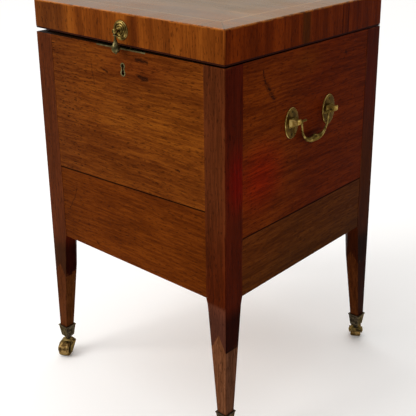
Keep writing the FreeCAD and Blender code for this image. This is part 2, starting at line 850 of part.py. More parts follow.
def cut_front_board(board):
    """Room in the front board for the lock, its selvedge, the escutcheon and the key."""
    depth = board_setback - thread_proud + thread_thickness
    half = lock_width / 2
    outer = lock_case_width / 2 + pocket_clearance
    bottom = case_top - selvedge_thickness - lock_case_height - pocket_clearance
    board = board.cut(keyhole(thread_width, 0, depth)).cut(keyhole(0, 0, lock_case_front + over))
    board = board.cut(front_box(lock_x - outer, lock_x + outer, lock_case_front, lock_plate_front,
                                bottom, case_top))
    board = board.cut(front_box(lock_x - half, lock_x + half, lock_plate_front, board_inside,
                                case_top - lock_height, case_top))
    board = board.cut(front_box(lock_x - selvedge_length / 2, lock_x + selvedge_length / 2,
                                board_setback, board_inside, case_top - selvedge_thickness, case_top))
    for _, blank in lock_screws():
        board = board.cut(blank)
    return board


def cut_for_hinges(wood, of_lid):
    """Seats for the leaves and holes for their screws."""
    half = hinge_length / 2
    z_0 = case_top + lid_gap if of_lid else case_top - hinge_leaf_thickness
    for middle in hinge_places().values():
        wood = wood.cut(box(middle - half, middle + half, half_depth - hinge_leaf_depth, half_depth + over,
                            z_0, z_0 + hinge_leaf_thickness))
        for _, blank in hinge_screws(middle, of_lid):
            wood = wood.cut(blank)
    return wood


def cut_front_rail(rail):
    """Room in the front rail for the link plate and the pull's shank."""
    z_0 = lid_edge("front", lock_x + link_half_length)
    rail = rail.cut(front_box(lock_x - link_half_length, lock_x + link_half_length, link_front,
                              link_front + link_depth, z_0 - lid_gap, z_0 + link_thickness))
    for _, blank in link_screws():
        rail = rail.cut(blank)
    shank = rod(pull_shank_radius, Vector(pull_x, -half_depth - over, pull_z),
                Vector(pull_x, -half_depth + rail_thickness + over, pull_z))
    return rail.cut(shank)


def make_boards():
    handle_holes = [blank for _, blank in handle_screws()]
    for side in sides:
        upper, lower = board_pair(side)
        upper = on_side(upper, side)
        if side == "front":
            upper = cut_front_board(upper)
        elif side == "back":
            upper = cut_for_hinges(upper, False)
        else:
            for hole in handle_holes:
                upper = upper.cut(hole)
        parts[side + "_board_upper"] = upper
        parts[side + "_board_lower"] = on_side(lower, side)


def make_rails():
    for side in sides:
        rail = on_side(lid_rail(side), side)
        for sign_x, sign_y in corners.values():
            rail = rail.cut(corner_round(sign_x, sign_y, leg_arris, case_top, lid_top))
        if side == "front":
            rail = cut_front_rail(rail)
        elif side == "back":
            rail = cut_for_hinges(rail, True)
        parts["lid_rail_" + side] = rail


# ---- Pull ----

def make_rosette():
    """A round back plate with two raised rings and a boss."""
    plate = Part.makeCylinder(rosette_radius, rosette_plate)
    rim = [edge for edge in plate.Edges if edge.BoundBox.ZMin > rosette_plate / 2]
    plate = plate.makeFillet(rosette_plate / 2, rim)
    outer = Part.makeTorus(rosette_outer_bead, rosette_outer_bead_radius, Vector(0, 0, rosette_plate))
    inner = Part.makeTorus(rosette_inner_bead, rosette_inner_bead_radius, Vector(0, 0, rosette_plate))
    below = box(-far, far, -far, far, -far, 0)
    boss = Part.makeCone(rosette_inner_bead, rosette_boss_radius, rosette_boss)
    shape = fuse([plate, outer, inner, boss]).cut(below)
    shape = shape.cut(Part.makeCylinder(pull_shank_radius, far, Vector(0, 0, -over)))
    parts["pull_rosette"] = standing_out(shape, pull_x, -half_depth, pull_z)


def make_post():
    """The pull's post: a slotted ball on a stem, with a shank clenched inside the lid."""
    stem = Part.makeCylinder(pull_stem_radius, pull_standoff - rosette_boss, Vector(0, 0, rosette_boss))
    ball = Part.makeSphere(pull_ball_radius, Vector(0, 0, pull_standoff))
    shank_length = rail_thickness + pull_washer
    shank = Part.makeCylinder(pull_shank_radius, shank_length + rosette_boss,
                              Vector(0, 0, -shank_length))
    washer = Part.makeCylinder(pull_washer_radius, pull_washer, Vector(0, 0, -shank_length))
    body = standing_out(fuse([stem, ball, shank, washer]), pull_x, -half_depth, pull_z)
    half = pull_slot / 2
    slot = box(pull_x - half, pull_x + half, pull_y - pull_ball_radius - over, pull_y + pull_slot_back,
               pull_z - pull_ball_radius - over, pull_z + pull_slot_top)
    pin = rod(pull_pin_radius, Vector(pull_x - pull_ball_radius, pull_y, pull_z),
              Vector(pull_x + pull_ball_radius, pull_y, pull_z))
    parts["pull_post"] = body.cut(slot).cut(pin)
    ball_there = Part.makeSphere(pull_ball_radius, Vector(pull_x, pull_y, pull_z))
    parts["pull_pin"] = pin.common(ball_there)


def make_drop():
    """The pear-shaped drop, hung by its tongue."""
    points = [Vector(radius, 0, -collar_bottom - below) for radius, below in pear_outline]
    curve = Part.BSplineCurve()
    curve.interpolate(points)
    neck = Vector(0, 0, points[0].z)
    foot = Vector(0, 0, points[-1].z)
    line = Part.makePolygon([points[-1], foot, neck, points[0]])
    outline = Part.Face(Part.Wire([curve.toShape()] + line.Edges))
    pear = outline.revolve(Vector(0, 0, 0), Vector(0, 0, 1), 360)
    collar = Part.makeCylinder(collar_radius, collar_height, neck)
    finial = Part.makeSphere(pear_finial_radius, foot)
    half = tongue_thickness / 2
    tongue = box(-half, half, -tongue_radius, tongue_radius, -collar_top - collar_height / 2, 0)
    tongue_top = rod(tongue_radius, Vector(-half, 0, 0), Vector(half, 0, 0))
    drop = fuse([pear, collar, finial, tongue, tongue_top])
    drop = drop.cut(rod(pull_pin_radius + pull_fit, Vector(-half - over, 0, 0), Vector(half + over, 0, 0)))
    drop.translate(Vector(pull_x, pull_y, pull_z))
    parts["pull_drop"] = drop


# ---- Handles, drawn on the front face of a side and turned to it ----

def handle_middle(side):
    """Place along the side of the handle's middle; towards the back on either side."""
    return handle_offset if side == "right" else -handle_offset


def handle_plates(side):
    """Two oval back plates, each with a square post that flares at its base and climbs a little."""
    face_y = -sides[side][1]
    plate_z = handle_z - handle_plate_drop
    plates = []
    for sign in (-1, 1):
        u = handle_middle(side) + sign * handle_post_spacing / 2
        oval = Part.Ellipse(Vector(0, handle_plate_height / 2, 0), Vector(handle_plate_width / 2, 0, 0),
                            Vector(0, 0, 0))
        plate = Part.Face(Part.Wire([oval.toShape()])).extrude(Vector(0, 0, handle_plate_thickness))
        rim = [edge for edge in plate.Edges if edge.BoundBox.ZMin > handle_plate_thickness / 2]
        plate = plate.makeFillet(handle_plate_edge, rim)
        post = square_column([
            (handle_plate_thickness / 2, post_base_half),
            (handle_plate_thickness, post_base_half),
            (post_flare, post_half),
            (post_height - post_end, post_half),
            (post_height, post_end_half),
        ], post_climb / post_height)
        piece = standing_out(fuse([plate, post]), u, face_y + board_setback, plate_z)
        y = face_y + board_setback - trunnion_standoff
        mouth = u - sign * (post_base_half + over)
        end = u - sign * (post_half - trunnion_depth - trunnion_end_gap)
        piece = piece.cut(rod(trunnion_radius + trunnion_fit, Vector(mouth, y, handle_z),
                              Vector(end, y, handle_z)))
        plates.append(on_side(piece, side))
    return plates


def handle_screws():
    """A screw above and below each post."""
    plate_z = handle_z - handle_plate_drop
    screws = []
    for side in ("right", "left"):
        face_y = -sides[side][1] + board_setback - handle_plate_thickness
        turn = sides[side][0]
        inward = turned(Part.Vertex(0, 1, 0), turn).Point
        for sign in (-1, 1):
            for up in (-1, 1):
                u = handle_middle(side) + sign * handle_post_spacing / 2
                place = Part.Vertex(u, face_y, plate_z + up * handle_screw_offset)
                screws.append(screw(turned(place, turn).Point, Vector(*inward), 30 * up + 10 * sign))
    return screws


def bail_point(t):
    """A point of the bail's centre line, from one arm's top (0) to the other's (1)."""
    angle = math.pi * t
    power = 2 / bail_squareness
    along = -bail_half_span * math.copysign(abs(math.cos(angle)) ** power, math.cos(angle))
    down = -bail_drop * abs(math.sin(angle)) ** power
    return Vector(along, 0, down)


def bail_radius(t):
    """The bail swells from thin arms to a full grip."""
    swell = max(math.sin(math.pi * t), 0) ** bail_swell
    return bail_arm_radius + (bail_grip_radius - bail_arm_radius) * swell


def bail_stations():
    """Places of the sections along the bail, closest together at the grip's ridge."""
    for i in range(bail_section_count):
        share = 2 * i / (bail_section_count - 1) - 1
        yield 0.5 + 0.5 * math.copysign(abs(share) ** bail_crowding, share)


def bail_section(t):
    """An oval across the bail, taller by the ridge on the side that faces the pivot."""
    step = 0.002
    before = bail_point(max(t - step, 0))
    after = bail_point(min(t + step, 1))
    forward = after.sub(before).normalize()
    outward = Vector(0, -1, 0)
    inward = outward.cross(forward)
    centre = bail_point(t)
    radius = bail_radius(t)
    ridge = bail_ridge * math.exp(-(centre.x / bail_ridge_spread) ** 2)
    middle = centre + inward * (ridge / 2)
    points = []
    for i in range(bail_oval_points):
        angle = 2 * math.pi * i / bail_oval_points
        points.append(middle + outward * (radius * bail_flatness * math.cos(angle))
                      + inward * ((radius + ridge / 2) * math.sin(angle)))
    oval = Part.BSplineCurve()
    oval.interpolate(Points=points, PeriodicFlag=True)
    return Part.Wire([oval.toShape()])


def make_bail(side):
    """A swelling bail with a trunnion at the top of each arm."""
    sections = [bail_section(t) for t in bail_stations()]
    pieces = [Part.makeLoft(sections, True)]
    for sign in (-1, 1):
        arm = sign * bail_half_span
        outer = sign * (handle_post_spacing / 2 - post_half + trunnion_depth)
        inner = arm - sign * trunnion_tail
        pieces.append(rod(trunnion_radius, Vector(inner, 0, 0), Vector(outer, 0, 0)))
        pieces.append(Part.makeSphere(trunnion_radius, Vector(inner, 0, 0)))
        pieces.append(Part.makeSphere(bail_elbow_radius, Vector(arm, 0, 0)))
    bail = fuse(pieces)
    y = -sides[side][1] + board_setback - trunnion_standoff
    bail.translate(Vector(handle_middle(side), y, handle_z))
    parts["bail_" + side] = on_side(bail, side)


# ---- Castors ----

def leg_axis(corner):
    """The middle of a leg's toe, where its castor is centred."""
    sign_x, sign_y = corners[corner]
    return Vector(sign_x * (half_width - leg_toe / 2), sign_y * (half_depth - leg_toe / 2), 0)


def make_cup():
    """A square cup with a flared rim, over the leg's toe; the pintle's head is held inside it."""
    body_half = leg_toe / 2 + cup_wall
    rim_half = body_half + cup_rim_flare
    outside = square_column([
        (cup_shoulder_bottom, cup_shoulder_half),
        (cup_foot, cup_foot_half),
        (cup_rim_bottom, body_half),
        (cup_rim_bottom + cup_rim / 2, rim_half),
        (cup_top, rim_half),
    ])
    neck = Part.makeCylinder(cup_neck_radius, cup_neck + cup_shoulder / 2, Vector(0, 0, cup_bottom))
    toe = square_column([(cup_floor, leg_toe / 2 - leg_toe_inset), (cup_top, leg_toe / 2)])
    bore = Part.makeCylinder(pintle_radius + pintle_fit, pintle_length, Vector(0, 0, cup_bottom))
    head_bottom = crown_top + pintle_length - pintle_head - swivel_gap
    chamber = Part.makeCylinder(pintle_head_radius + pintle_head_clearance, cup_floor - head_bottom,
                                Vector(0, 0, head_bottom))
    return fuse([outside, neck]).cut(toe).cut(bore).cut(chamber)


def make_fork():
    """A crown with a pintle above and two horns that hold the axle, trailing along +X."""
    crown_bottom = crown_top - crown_depth
    slant = horn_end_radius / math.sqrt(2)
    side_view = [
        (-crown_back, crown_bottom),
        (-crown_back, crown_top),
        (crown_front, crown_top),
        (fork_trail + slant, wheel_radius + slant),
        (fork_trail - slant, wheel_radius - slant),
    ]
    outer = wheel_width / 2 + fork_gap + horn_thickness
    front_view = [
        (-crown_half, crown_top),
        (crown_half, crown_top),
        (outer, crown_top - crown_shoulder),
        (outer, 0),
        (-outer, 0),
        (-outer, crown_top - crown_shoulder),
    ]
    end = rod(horn_end_radius, Vector(fork_trail, -outer, wheel_radius), Vector(fork_trail, outer, wheel_radius))
    profile = prism([Vector(u, -outer, z) for u, z in side_view], Vector(0, 2 * outer, 0))
    block = fuse([profile, end])
    block = block.common(prism([Vector(-far, v, z) for v, z in front_view], Vector(2 * far, 0, 0)))
    inner = wheel_width / 2 + fork_gap
    room = rod(wheel_radius + fork_wheel_gap, Vector(fork_trail, -inner, wheel_radius),
               Vector(fork_trail, inner, wheel_radius))
    pintle = Part.makeCylinder(pintle_radius, pintle_length + over, Vector(0, 0, crown_top - over))
    head = Part.makeCylinder(pintle_head_radius, pintle_head,
                             Vector(0, 0, crown_top + pintle_length - pintle_head))
    axle_hole = rod(axle_radius, Vector(fork_trail, -far, wheel_radius), Vector(fork_trail, far, wheel_radius))
    return fuse([block.cut(room), pintle, head]).cut(axle_hole)


def make_axle():
    """A riveted pin through both horns and the wheel."""
    outer = wheel_width / 2 + fork_gap + horn_thickness
    pieces = [rod(axle_radius, Vector(fork_trail, -outer, wheel_radius), Vector(fork_trail, outer, wheel_radius))]
    for sign in (-1, 1):
        pieces.append(Part.makeCone(axle_head_radius, axle_radius, axle_head,
                                    Vector(fork_trail, sign * outer, wheel_radius), Vector(0, sign, 0)))
    return fuse(pieces)


def make_wheel():
    """A drum-shaped wheel with rounded edges and a hub in each recessed side."""
    half = wheel_width / 2
    wheel = Part.makeCylinder(wheel_radius, wheel_width, Vector(0, 0, -half))
    rims = [edge for edge in wheel.Edges if edge.BoundBox.ZLength < wheel_edge]
    wheel = wheel.makeFillet(wheel_edge, rims)
    for start in (-half, half - wheel_recess):
        recess = Part.makeCylinder(wheel_recess_radius, wheel_recess, Vector(0, 0, start))
        hub = Part.makeCylinder(wheel_hub_radius, wheel_recess, Vector(0, 0, start))
        wheel = wheel.cut(recess.cut(hub))
    wheel = wheel.cut(Part.makeCylinder(axle_radius + axle_fit, wheel_width, Vector(0, 0, -half)))
    wheel.rotate(Vector(0, 0, 0), Vector(1, 0, 0), 90)
    wheel.translate(Vector(fork_trail, 0, wheel_radius))
    return wheel


def make_castors():
    cup = make_cup()
    swivelling = {"castor_fork_": make_fork(), "castor_axle_": make_axle(), "castor_wheel_": make_wheel()}
    for corner in corners:
        place = leg_axis(corner)
        parts["castor_cup_" + corner] = cup.translated(place)
        for name, shape in swivelling.items():
            piece = turned(shape, castor_turn[corner])
            piece.translate(place)
            parts[name + corner] = piece


# ---- Assembly ----

def make_hinges():
    for of_lid, name in ((False, "hinge_leaves_case"), (True, "hinge_leaves_lid")):
        leaves = []
        for middle in hinge_places().values():
            leaf = hinge_leaf(middle, of_lid)
            for _, blank in hinge_screws(middle, of_lid):
                leaf = leaf.cut(blank)
            leaves.append(leaf)
        parts[name] = Part.makeCompound(leaves)
    half = hinge_length / 2
    pins = [rod(hinge_pin_radius, Vector(middle - half, hinge_y, hinge_z),
                Vector(middle + half, hinge_y, hinge_z)) for middle in hinge_places().values()]
    parts["hinge_pins"] = Part.makeCompound(pins)


def make_screws():
    """The case's screws in one group and the lid's in another."""
    places = hinge_places().values()
    of_case = [pair for middle in places for pair in hinge_screws(middle, False)]
    of_case += lock_screws() + handle_screws()
    of_lid = [pair for middle in places for pair in hinge_screws(middle, True)] + link_screws()
    parts["screws_case"] = Part.makeCompound([slotted for slotted, _ in of_case])
    parts["screws_lid"] = Part.makeCompound([slotted for slotted, _ in of_lid])


def make_handles():
    plates = []
    for side in ("right", "left"):
        plates += handle_plates(side)
        make_bail(side)
    for _, blank in handle_screws():
        plates = [plate.cut(blank) for plate in plates]
    parts["handle_plates"] = Part.makeCompound(plates)


def build():
    for corner in corners:
        make_leg(corner)
    make_boards()
    make_floor()
    make_dividers()
    make_rails()
    make_crossbanding()
    make_lid_board()
    make_hinges()
    make_lock_plate()
    make_lock_case()
    make_bolt()
    make_link_plate()
    make_escutcheon()
    make_rosette()
    make_post()
    make_drop()
    make_handles()
    make_castors()
    make_screws()


def write_parts():
    os.makedirs("parts", exist_ok=True)
    for name, shape in parts.items():
        shape.exportStep("parts/" + name + ".step")


build()
write_parts()
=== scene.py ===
import json
import math
import bpy
from mathutils import Matrix, Vector

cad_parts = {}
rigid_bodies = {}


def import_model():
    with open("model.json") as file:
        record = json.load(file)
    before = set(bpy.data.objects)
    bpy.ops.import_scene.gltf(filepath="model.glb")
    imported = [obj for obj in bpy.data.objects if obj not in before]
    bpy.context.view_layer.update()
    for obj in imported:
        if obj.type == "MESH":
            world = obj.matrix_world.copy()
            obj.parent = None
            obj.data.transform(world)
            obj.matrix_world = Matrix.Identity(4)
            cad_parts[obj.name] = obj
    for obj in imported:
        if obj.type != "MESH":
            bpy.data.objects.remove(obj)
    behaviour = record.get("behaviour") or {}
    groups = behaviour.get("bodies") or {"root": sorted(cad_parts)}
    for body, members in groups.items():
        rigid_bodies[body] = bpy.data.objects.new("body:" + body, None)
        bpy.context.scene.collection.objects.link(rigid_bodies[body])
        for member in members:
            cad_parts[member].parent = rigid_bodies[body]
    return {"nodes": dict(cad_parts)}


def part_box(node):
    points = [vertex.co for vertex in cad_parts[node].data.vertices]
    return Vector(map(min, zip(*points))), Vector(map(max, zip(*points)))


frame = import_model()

# A cellarette in old polished mahogany with aged brass fittings. Sizes are metres, in the
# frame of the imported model: +X is the right side, -Y the front, +Z up, the floor at Z = 0.

for leftover in [o for o in bpy.data.objects if o.name in ("Cube", "Light", "Camera")]:
    bpy.data.objects.remove(leftover)
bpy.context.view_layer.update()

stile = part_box("leg_front_right")
half_width, half_depth = stile[1].x, -stile[0].y
board_end_x, board_end_y = stile[0].x, -stile[1].y     # where the boards meet the stiles
splice = stile[0].z                                    # where that leg's new tip begins
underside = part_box("front_board_lower")[0].z
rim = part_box("front_board_upper")[1].z
lid_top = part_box("lid_top_board")[1].z
rail_middle = lid_top - 0.025
cup_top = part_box("castor_cup_front_right")[1].z


# ---- Camera ----

CAMERA_PLACE = (0.91533, -1.02021, lid_top + 0.20682)
CAMERA_YAW = math.radians(-40.897)
CAMERA_PITCH = math.radians(19.073)
CAMERA_ROLL = math.radians(-0.255)
SENSOR_MM = 36.0
LENS_MM = 69.22
SHIFT_X, SHIFT_Y = -0.0405, -0.1535


def aim_camera():
    yaw, pitch, roll = CAMERA_YAW, CAMERA_PITCH, CAMERA_ROLL
    forward = Vector((math.sin(yaw) * math.cos(pitch), math.cos(yaw) * math.cos(pitch), -math.sin(pitch)))
    right = Vector((math.cos(yaw), -math.sin(yaw), 0))
    up = right.cross(forward)
    right, up = (right * math.cos(roll) + up * math.sin(roll), up * math.cos(roll) - right * math.sin(roll))
    data = bpy.data.cameras.new("camera")
    data.sensor_width = SENSOR_MM
    data.lens = LENS_MM
    data.shift_x = SHIFT_X
    data.shift_y = SHIFT_Y
    data.clip_start = 0.05
    data.clip_end = 60.0
    camera = bpy.data.objects.new("camera", data)
    turn = Matrix((right, up, -forward)).transposed()
    camera.matrix_world = Matrix.Translation(CAMERA_PLACE) @ turn.to_4x4()
    bpy.context.scene.collection.objects.link(camera)
    bpy.context.scene.camera = camera


# ---- Light and floor ----

SKY_COLOUR = (1.0, 0.985, 0.965, 1)
LAMP_PLACE = Vector((-1.9, -3.0, 2.5))
LAMP_AIM = Vector((0, 0, 0.4))
LAMP_SIZE = (2.0, 1.8)
LAMP_WATTS = 70
LAMP_COLOUR = (1.0, 0.98, 0.95)
FLOOR_REACH = 30.0
FLOOR_COLOUR = (0.95, 0.95, 0.95, 1)
FLOOR_GLOW = 0.09


def sky_fade(tree, coordinate, low, high, at_low, at_high):
    """The sky's strength along one direction, which goes from one value to another."""
    fade = tree.nodes.new("ShaderNodeMapRange")
    fade.interpolation_type = "SMOOTHSTEP"
    for socket, value in enumerate((low, high, at_low, at_high), 1):
        fade.inputs[socket].default_value = value
    tree.links.new(coordinate, fade.inputs[0])
    return fade.outputs[0]


def make_sky():
    """A white studio, dimmer towards the horizon and the right."""
    world = bpy.data.worlds.new("studio")
    world.use_nodes = True
    tree = world.node_tree
    background = tree.nodes["Background"]
    background.inputs["Color"].default_value = SKY_COLOUR
    direction = tree.nodes.new("ShaderNodeTexCoord")
    split = tree.nodes.new("ShaderNodeSeparateXYZ")
    tree.links.new(direction.outputs["Generated"], split.inputs[0])
    product = tree.nodes.new("ShaderNodeMath")
    product.operation = "MULTIPLY"
    tree.links.new(sky_fade(tree, split.outputs["Z"], 0.0, 0.9, 0.42, 1.35), product.inputs[0])
    tree.links.new(sky_fade(tree, split.outputs["X"], -0.7, 0.9, 1.15, 0.42), product.inputs[1])
    tree.links.new(product.outputs[0], background.inputs["Strength"])
    bpy.context.scene.world = world


def make_lamp():
    """One large soft lamp, in front on the left."""
    data = bpy.data.lights.new("key", "AREA")
    data.shape = "RECTANGLE"
    data.size, data.size_y = LAMP_SIZE
    data.energy = LAMP_WATTS
    data.color = LAMP_COLOUR
    lamp = bpy.data.objects.new("key", data)
    lamp.location = LAMP_PLACE
    lamp.rotation_euler = (LAMP_AIM - LAMP_PLACE).to_track_quat("-Z", "Y").to_euler()
    lamp.visible_camera = False
    bpy.context.scene.collection.objects.link(lamp)


def make_floor():
    mesh = bpy.data.meshes.new("floor")
    corners = [(x * FLOOR_REACH, y * FLOOR_REACH, 0) for x, y in ((-1, -1), (1, -1), (1, 1), (-1, 1))]
    mesh.from_pydata(corners, [], [(0, 1, 2, 3)])
    floor = bpy.data.objects.new("floor", mesh)
    material = bpy.data.materials.new("pale_floor")
    material.use_nodes = True
    shader = material.node_tree.nodes["Principled BSDF"]
    shader.inputs["Base Color"].default_value = FLOOR_COLOUR
    shader.inputs["Roughness"].default_value = 0.9
    shader.inputs["Specular IOR Level"].default_value = 0.1
    shader.inputs["Emission Color"].default_value = (1, 1, 1, 1)
    shader.inputs["Emission Strength"].default_value = FLOOR_GLOW
    mesh.materials.append(material)
    bpy.context.scene.collection.objects.link(floor)


# ---- Node materials ----

SHARP = 0.001           # the width of a mask's edge, where it follows a real edge
AXES = {"x": 0, "y": 1, "z": 2}


def tone(red, green, blue):
    """A colour given as it looks on a screen, 0 to 255, in linear light."""
    def linear(value):
        value /= 255
        return value / 12.92 if value <= 0.04045 else ((value + 0.055) / 1.055) ** 2.4
    return (linear(red), linear(green), linear(blue), 1)


def times(colour, factor):
    """A colour made darker or lighter."""
    return tuple(min(factor * value, 1.0) for value in colour[:3]) + (1,)


class Paint:
    """A procedural material in the making. Its coordinates are the frame's, in metres."""

    def __init__(self, name):
        self.material = bpy.data.materials.new(name)
        self.material.use_nodes = True
        self.tree = self.material.node_tree
        self.tree.nodes.clear()
        self.shader = self.node("ShaderNodeBsdfPrincipled")
        output = self.node("ShaderNodeOutputMaterial")
        self.tree.links.new(self.shader.outputs[0], output.inputs[0])
        coordinates = self.node("ShaderNodeTexCoord")
        self.place = coordinates.outputs["Object"]
        self.normal = coordinates.outputs["Normal"]
        split = self.node("ShaderNodeSeparateXYZ", {0: self.place})
        self.x, self.y, self.z = split.outputs

    def node(self, kind, inputs=None, **settings):
        made = self.tree.nodes.new(kind)
        for key, value in settings.items():
            setattr(made, key, value)
        for key, value in (inputs or {}).items():
            self.put(made.inputs[key], value)
        return made

    def put(self, socket, value):
        if isinstance(value, bpy.types.NodeSocket):
            self.tree.links.new(value, socket)
        else:
            socket.default_value = value

    # Plain sums

    def calc(self, operation, a, b=0.0, clamp=False):
        return self.node("ShaderNodeMath", {0: a, 1: b}, operation=operation, use_clamp=clamp).outputs[0]

    def unsigned(self, value):
        return self.calc("ABSOLUTE", value)

    def scaled(self, value, amount):
        return self.calc("MULTIPLY", value, amount)

    def vector(self, operation, a, b=(0, 0, 0)):
        made = self.node("ShaderNodeVectorMath", {0: a, 1: b}, operation=operation)
        return made.outputs["Value" if operation in ("LENGTH", "DOT_PRODUCT") else "Vector"]

    def mix(self, share, a, b, blend="MIX"):
        made = self.node("ShaderNodeMix", {0: share, 6: a, 7: b}, data_type="RGBA", blend_type=blend)
        return made.outputs[2]

    def ramp(self, value, stops):
        made = self.node("ShaderNodeValToRGB", {0: value})
        elements = made.color_ramp.elements
        while len(elements) < len(stops):
            elements.new(0.5)
        for element, (position, colour) in zip(elements, stops):
            element.position = position
            element.color = colour
        return made.outputs[0]

    # Masks, from 0 to 1

    def fit(self, value, low, high, to_low=0.0, to_high=1.0):
        """Smooth step of a value from one range to another, clamped."""
        made = self.node("ShaderNodeMapRange", {0: value, 1: low, 2: high, 3: to_low, 4: to_high},
                         interpolation_type="SMOOTHSTEP")
        return made.outputs[0]

    def fade(self, value, low, high):
        """1 below a range, 0 above it."""
        return self.fit(value, low, high, 1.0, 0.0)

    def over(self, value, limit):
        return self.fit(value, limit, limit + SHARP)

    def under(self, value, limit):
        return self.fade(value, limit, limit + SHARP)

    def both(self, *masks):
        whole = masks[0]
        for mask in masks[1:]:
            whole = self.calc("MULTIPLY", whole, mask)
        return whole

    def most(self, *masks):
        whole = masks[0]
        for mask in masks[1:]:
            whole = self.calc("MAXIMUM", whole, mask)
        return whole

    def spot(self, centre, radii, core):
        """1 inside an ellipsoid, fading to 0 at its surface. A radius of 0 ignores that axis."""
        apart = self.vector("SUBTRACT", self.place, centre)
        apart = self.vector("MULTIPLY", apart, tuple(1 / r if r else 0.0 for r in radii))
        return self.fade(self.vector("LENGTH", apart), core, 1.0)

    def line(self, start, end, width, flat, place=None):
        """1 on a segment, fading to 0 half a width away. The flat axis, 0 to 2, is ignored."""
        keep = [0.0 if i == flat else 1.0 for i in range(3)]
        place = self.vector("MULTIPLY", place or self.place, keep)
        start = Vector([a * k for a, k in zip(start, keep)])
        end = Vector([a * k for a, k in zip(end, keep)])
        run = end - start
        apart = self.vector("SUBTRACT", place, tuple(start))
        reached = self.vector("DOT_PRODUCT", apart, tuple(run))
        share = self.calc("DIVIDE", reached, run.length_squared, clamp=True)
        along = self.node("ShaderNodeVectorMath", {0: tuple(run), 3: share}, operation="SCALE").outputs[0]
        distance = self.vector("LENGTH", self.vector("SUBTRACT", apart, along))
        return self.fade(distance, 0.0, width / 2)

    def facing(self, direction, low=0.4, high=0.8):
        """1 on faces that look in a direction, 0 on the others."""
        return self.fit(self.vector("DOT_PRODUCT", self.normal, direction), low, high)

    def hollows(self, reach, low, high):
        """1 in corners and crevices, 0 out in the open."""
        made = self.node("ShaderNodeAmbientOcclusion", {"Distance": reach}, samples=6, only_local=False)
        return self.fade(made.outputs["AO"], low, high)

    def edges(self, reach):
        """1 along outer edges, 0 on broad faces."""
        made = self.node("ShaderNodeAmbientOcclusion", {"Distance": reach},
                         samples=6, inside=True, only_local=True)
        return self.fade(made.outputs["AO"], 0.5, 0.9)

    # Noises

    def noise(self, scale, detail, roughness, place=None, shift=0.0):
        """Noise at so many features a metre, along all axes or along each."""
        if not isinstance(scale, tuple):
            scale = (scale, scale, scale)
        spread = self.vector("MULTIPLY", place or self.place, scale)
        spread = self.vector("ADD", spread, (shift, shift * 1.7, shift * 2.3))
        made = self.node("ShaderNodeTexNoise",
                         {"Vector": spread, "Scale": 1.0, "Detail": detail, "Roughness": roughness})
        return made.outputs["Fac"]

    def warped(self, amount, scale, place=None, shift=0.0):
        """The place, pushed about by a slow noise."""
        place = place or self.place
        spread = self.vector("MULTIPLY", place, (scale,) * 3)
        spread = self.vector("ADD", spread, (shift, shift, shift))
        made = self.node("ShaderNodeTexNoise", {"Vector": spread, "Scale": 1.0, "Detail": 2.0})
        push = self.vector("SUBTRACT", made.outputs["Color"], (0.5, 0.5, 0.5))
        return self.vector("ADD", place, self.vector("MULTIPLY", push, (amount,) * 3))

    def finish(self, colour, roughness, height, depth, **sockets):
        """Joins all to the shader. A socket's name is given with _ for each space."""
        self.put(self.shader.inputs["Base Color"], colour)
        self.put(self.shader.inputs["Roughness"], roughness)
        for name, value in sockets.items():
            self.put(self.shader.inputs[name.replace("_", " ")], value)
        bump = self.node("ShaderNodeBump", {"Height": height, "Distance": depth, "Strength": 1.0})
        self.put(self.shader.inputs["Normal"], bump.outputs[0])
        return self.material


def multiply(paint, colour, mask, by, amount):
    """A colour with its red, green and blue multiplied where the mask is."""
    return paint.mix(paint.scaled(mask, amount), colour, by + (1,), "MULTIPLY")


def tint(paint, colour, mask, to, amount):
    return paint.mix(paint.scaled(mask, amount), colour, to)


# ---- Wood ----

PORE_SHARE = 0.55       # how strongly the pores darken the wood
BARE, BARE_DARK = tone(150, 104, 62), tone(112, 72, 40)
BARE_ROUGHNESS = (0.75, 0.75, 0.75, 1)
SCAR = tone(22, 8, 4)
# Old dirt and painted shade, for edges that meet another board or the lid.
JOINT_DIRT_AND_SHADE = tone(26, 11, 5)
SEAM_DIRT = tone(18, 6, 2)
# Painted shade in corners and crevices: a colour is multiplied by this there.
HOLLOW_SHADE = (0.30, 0.21, 0.18)


def grained(along, slow, fast):
    """A noise scale that is slow along the grain and fast across it."""
    scale = [fast, fast, fast]
    scale[AXES[along]] = slow
    return tuple(scale)


class Grain:
    """The pattern of one board, as noises round 0.5: figure, bands, streaks, fine streaks and pores."""

    def __init__(self, paint, along, place, shift, wave):
        base = place or paint.place
        drifting = paint.warped(0.006, 7.0, base, shift)
        wavy = paint.warped(wave, 26.0, drifting, shift + 3.0)
        self.figure = paint.noise(grained(along, 7.0, 15.0), 3.0, 0.55, base, shift + 13.0)
        self.bands = paint.noise(grained(along, 3.0, 42.0), 3.0, 0.5, wavy, shift + 9.0)
        self.streaks = paint.noise(grained(along, 15.0, 290.0), 3.0, 0.62, wavy, shift)
        self.fine = paint.noise(grained(along, 52.0, 640.0), 3.0, 0.65, wavy, shift + 5.0)
        self.pores = paint.noise(grained(along, 110.0, 520.0), 1.0, 0.5, wavy, shift + 7.0)


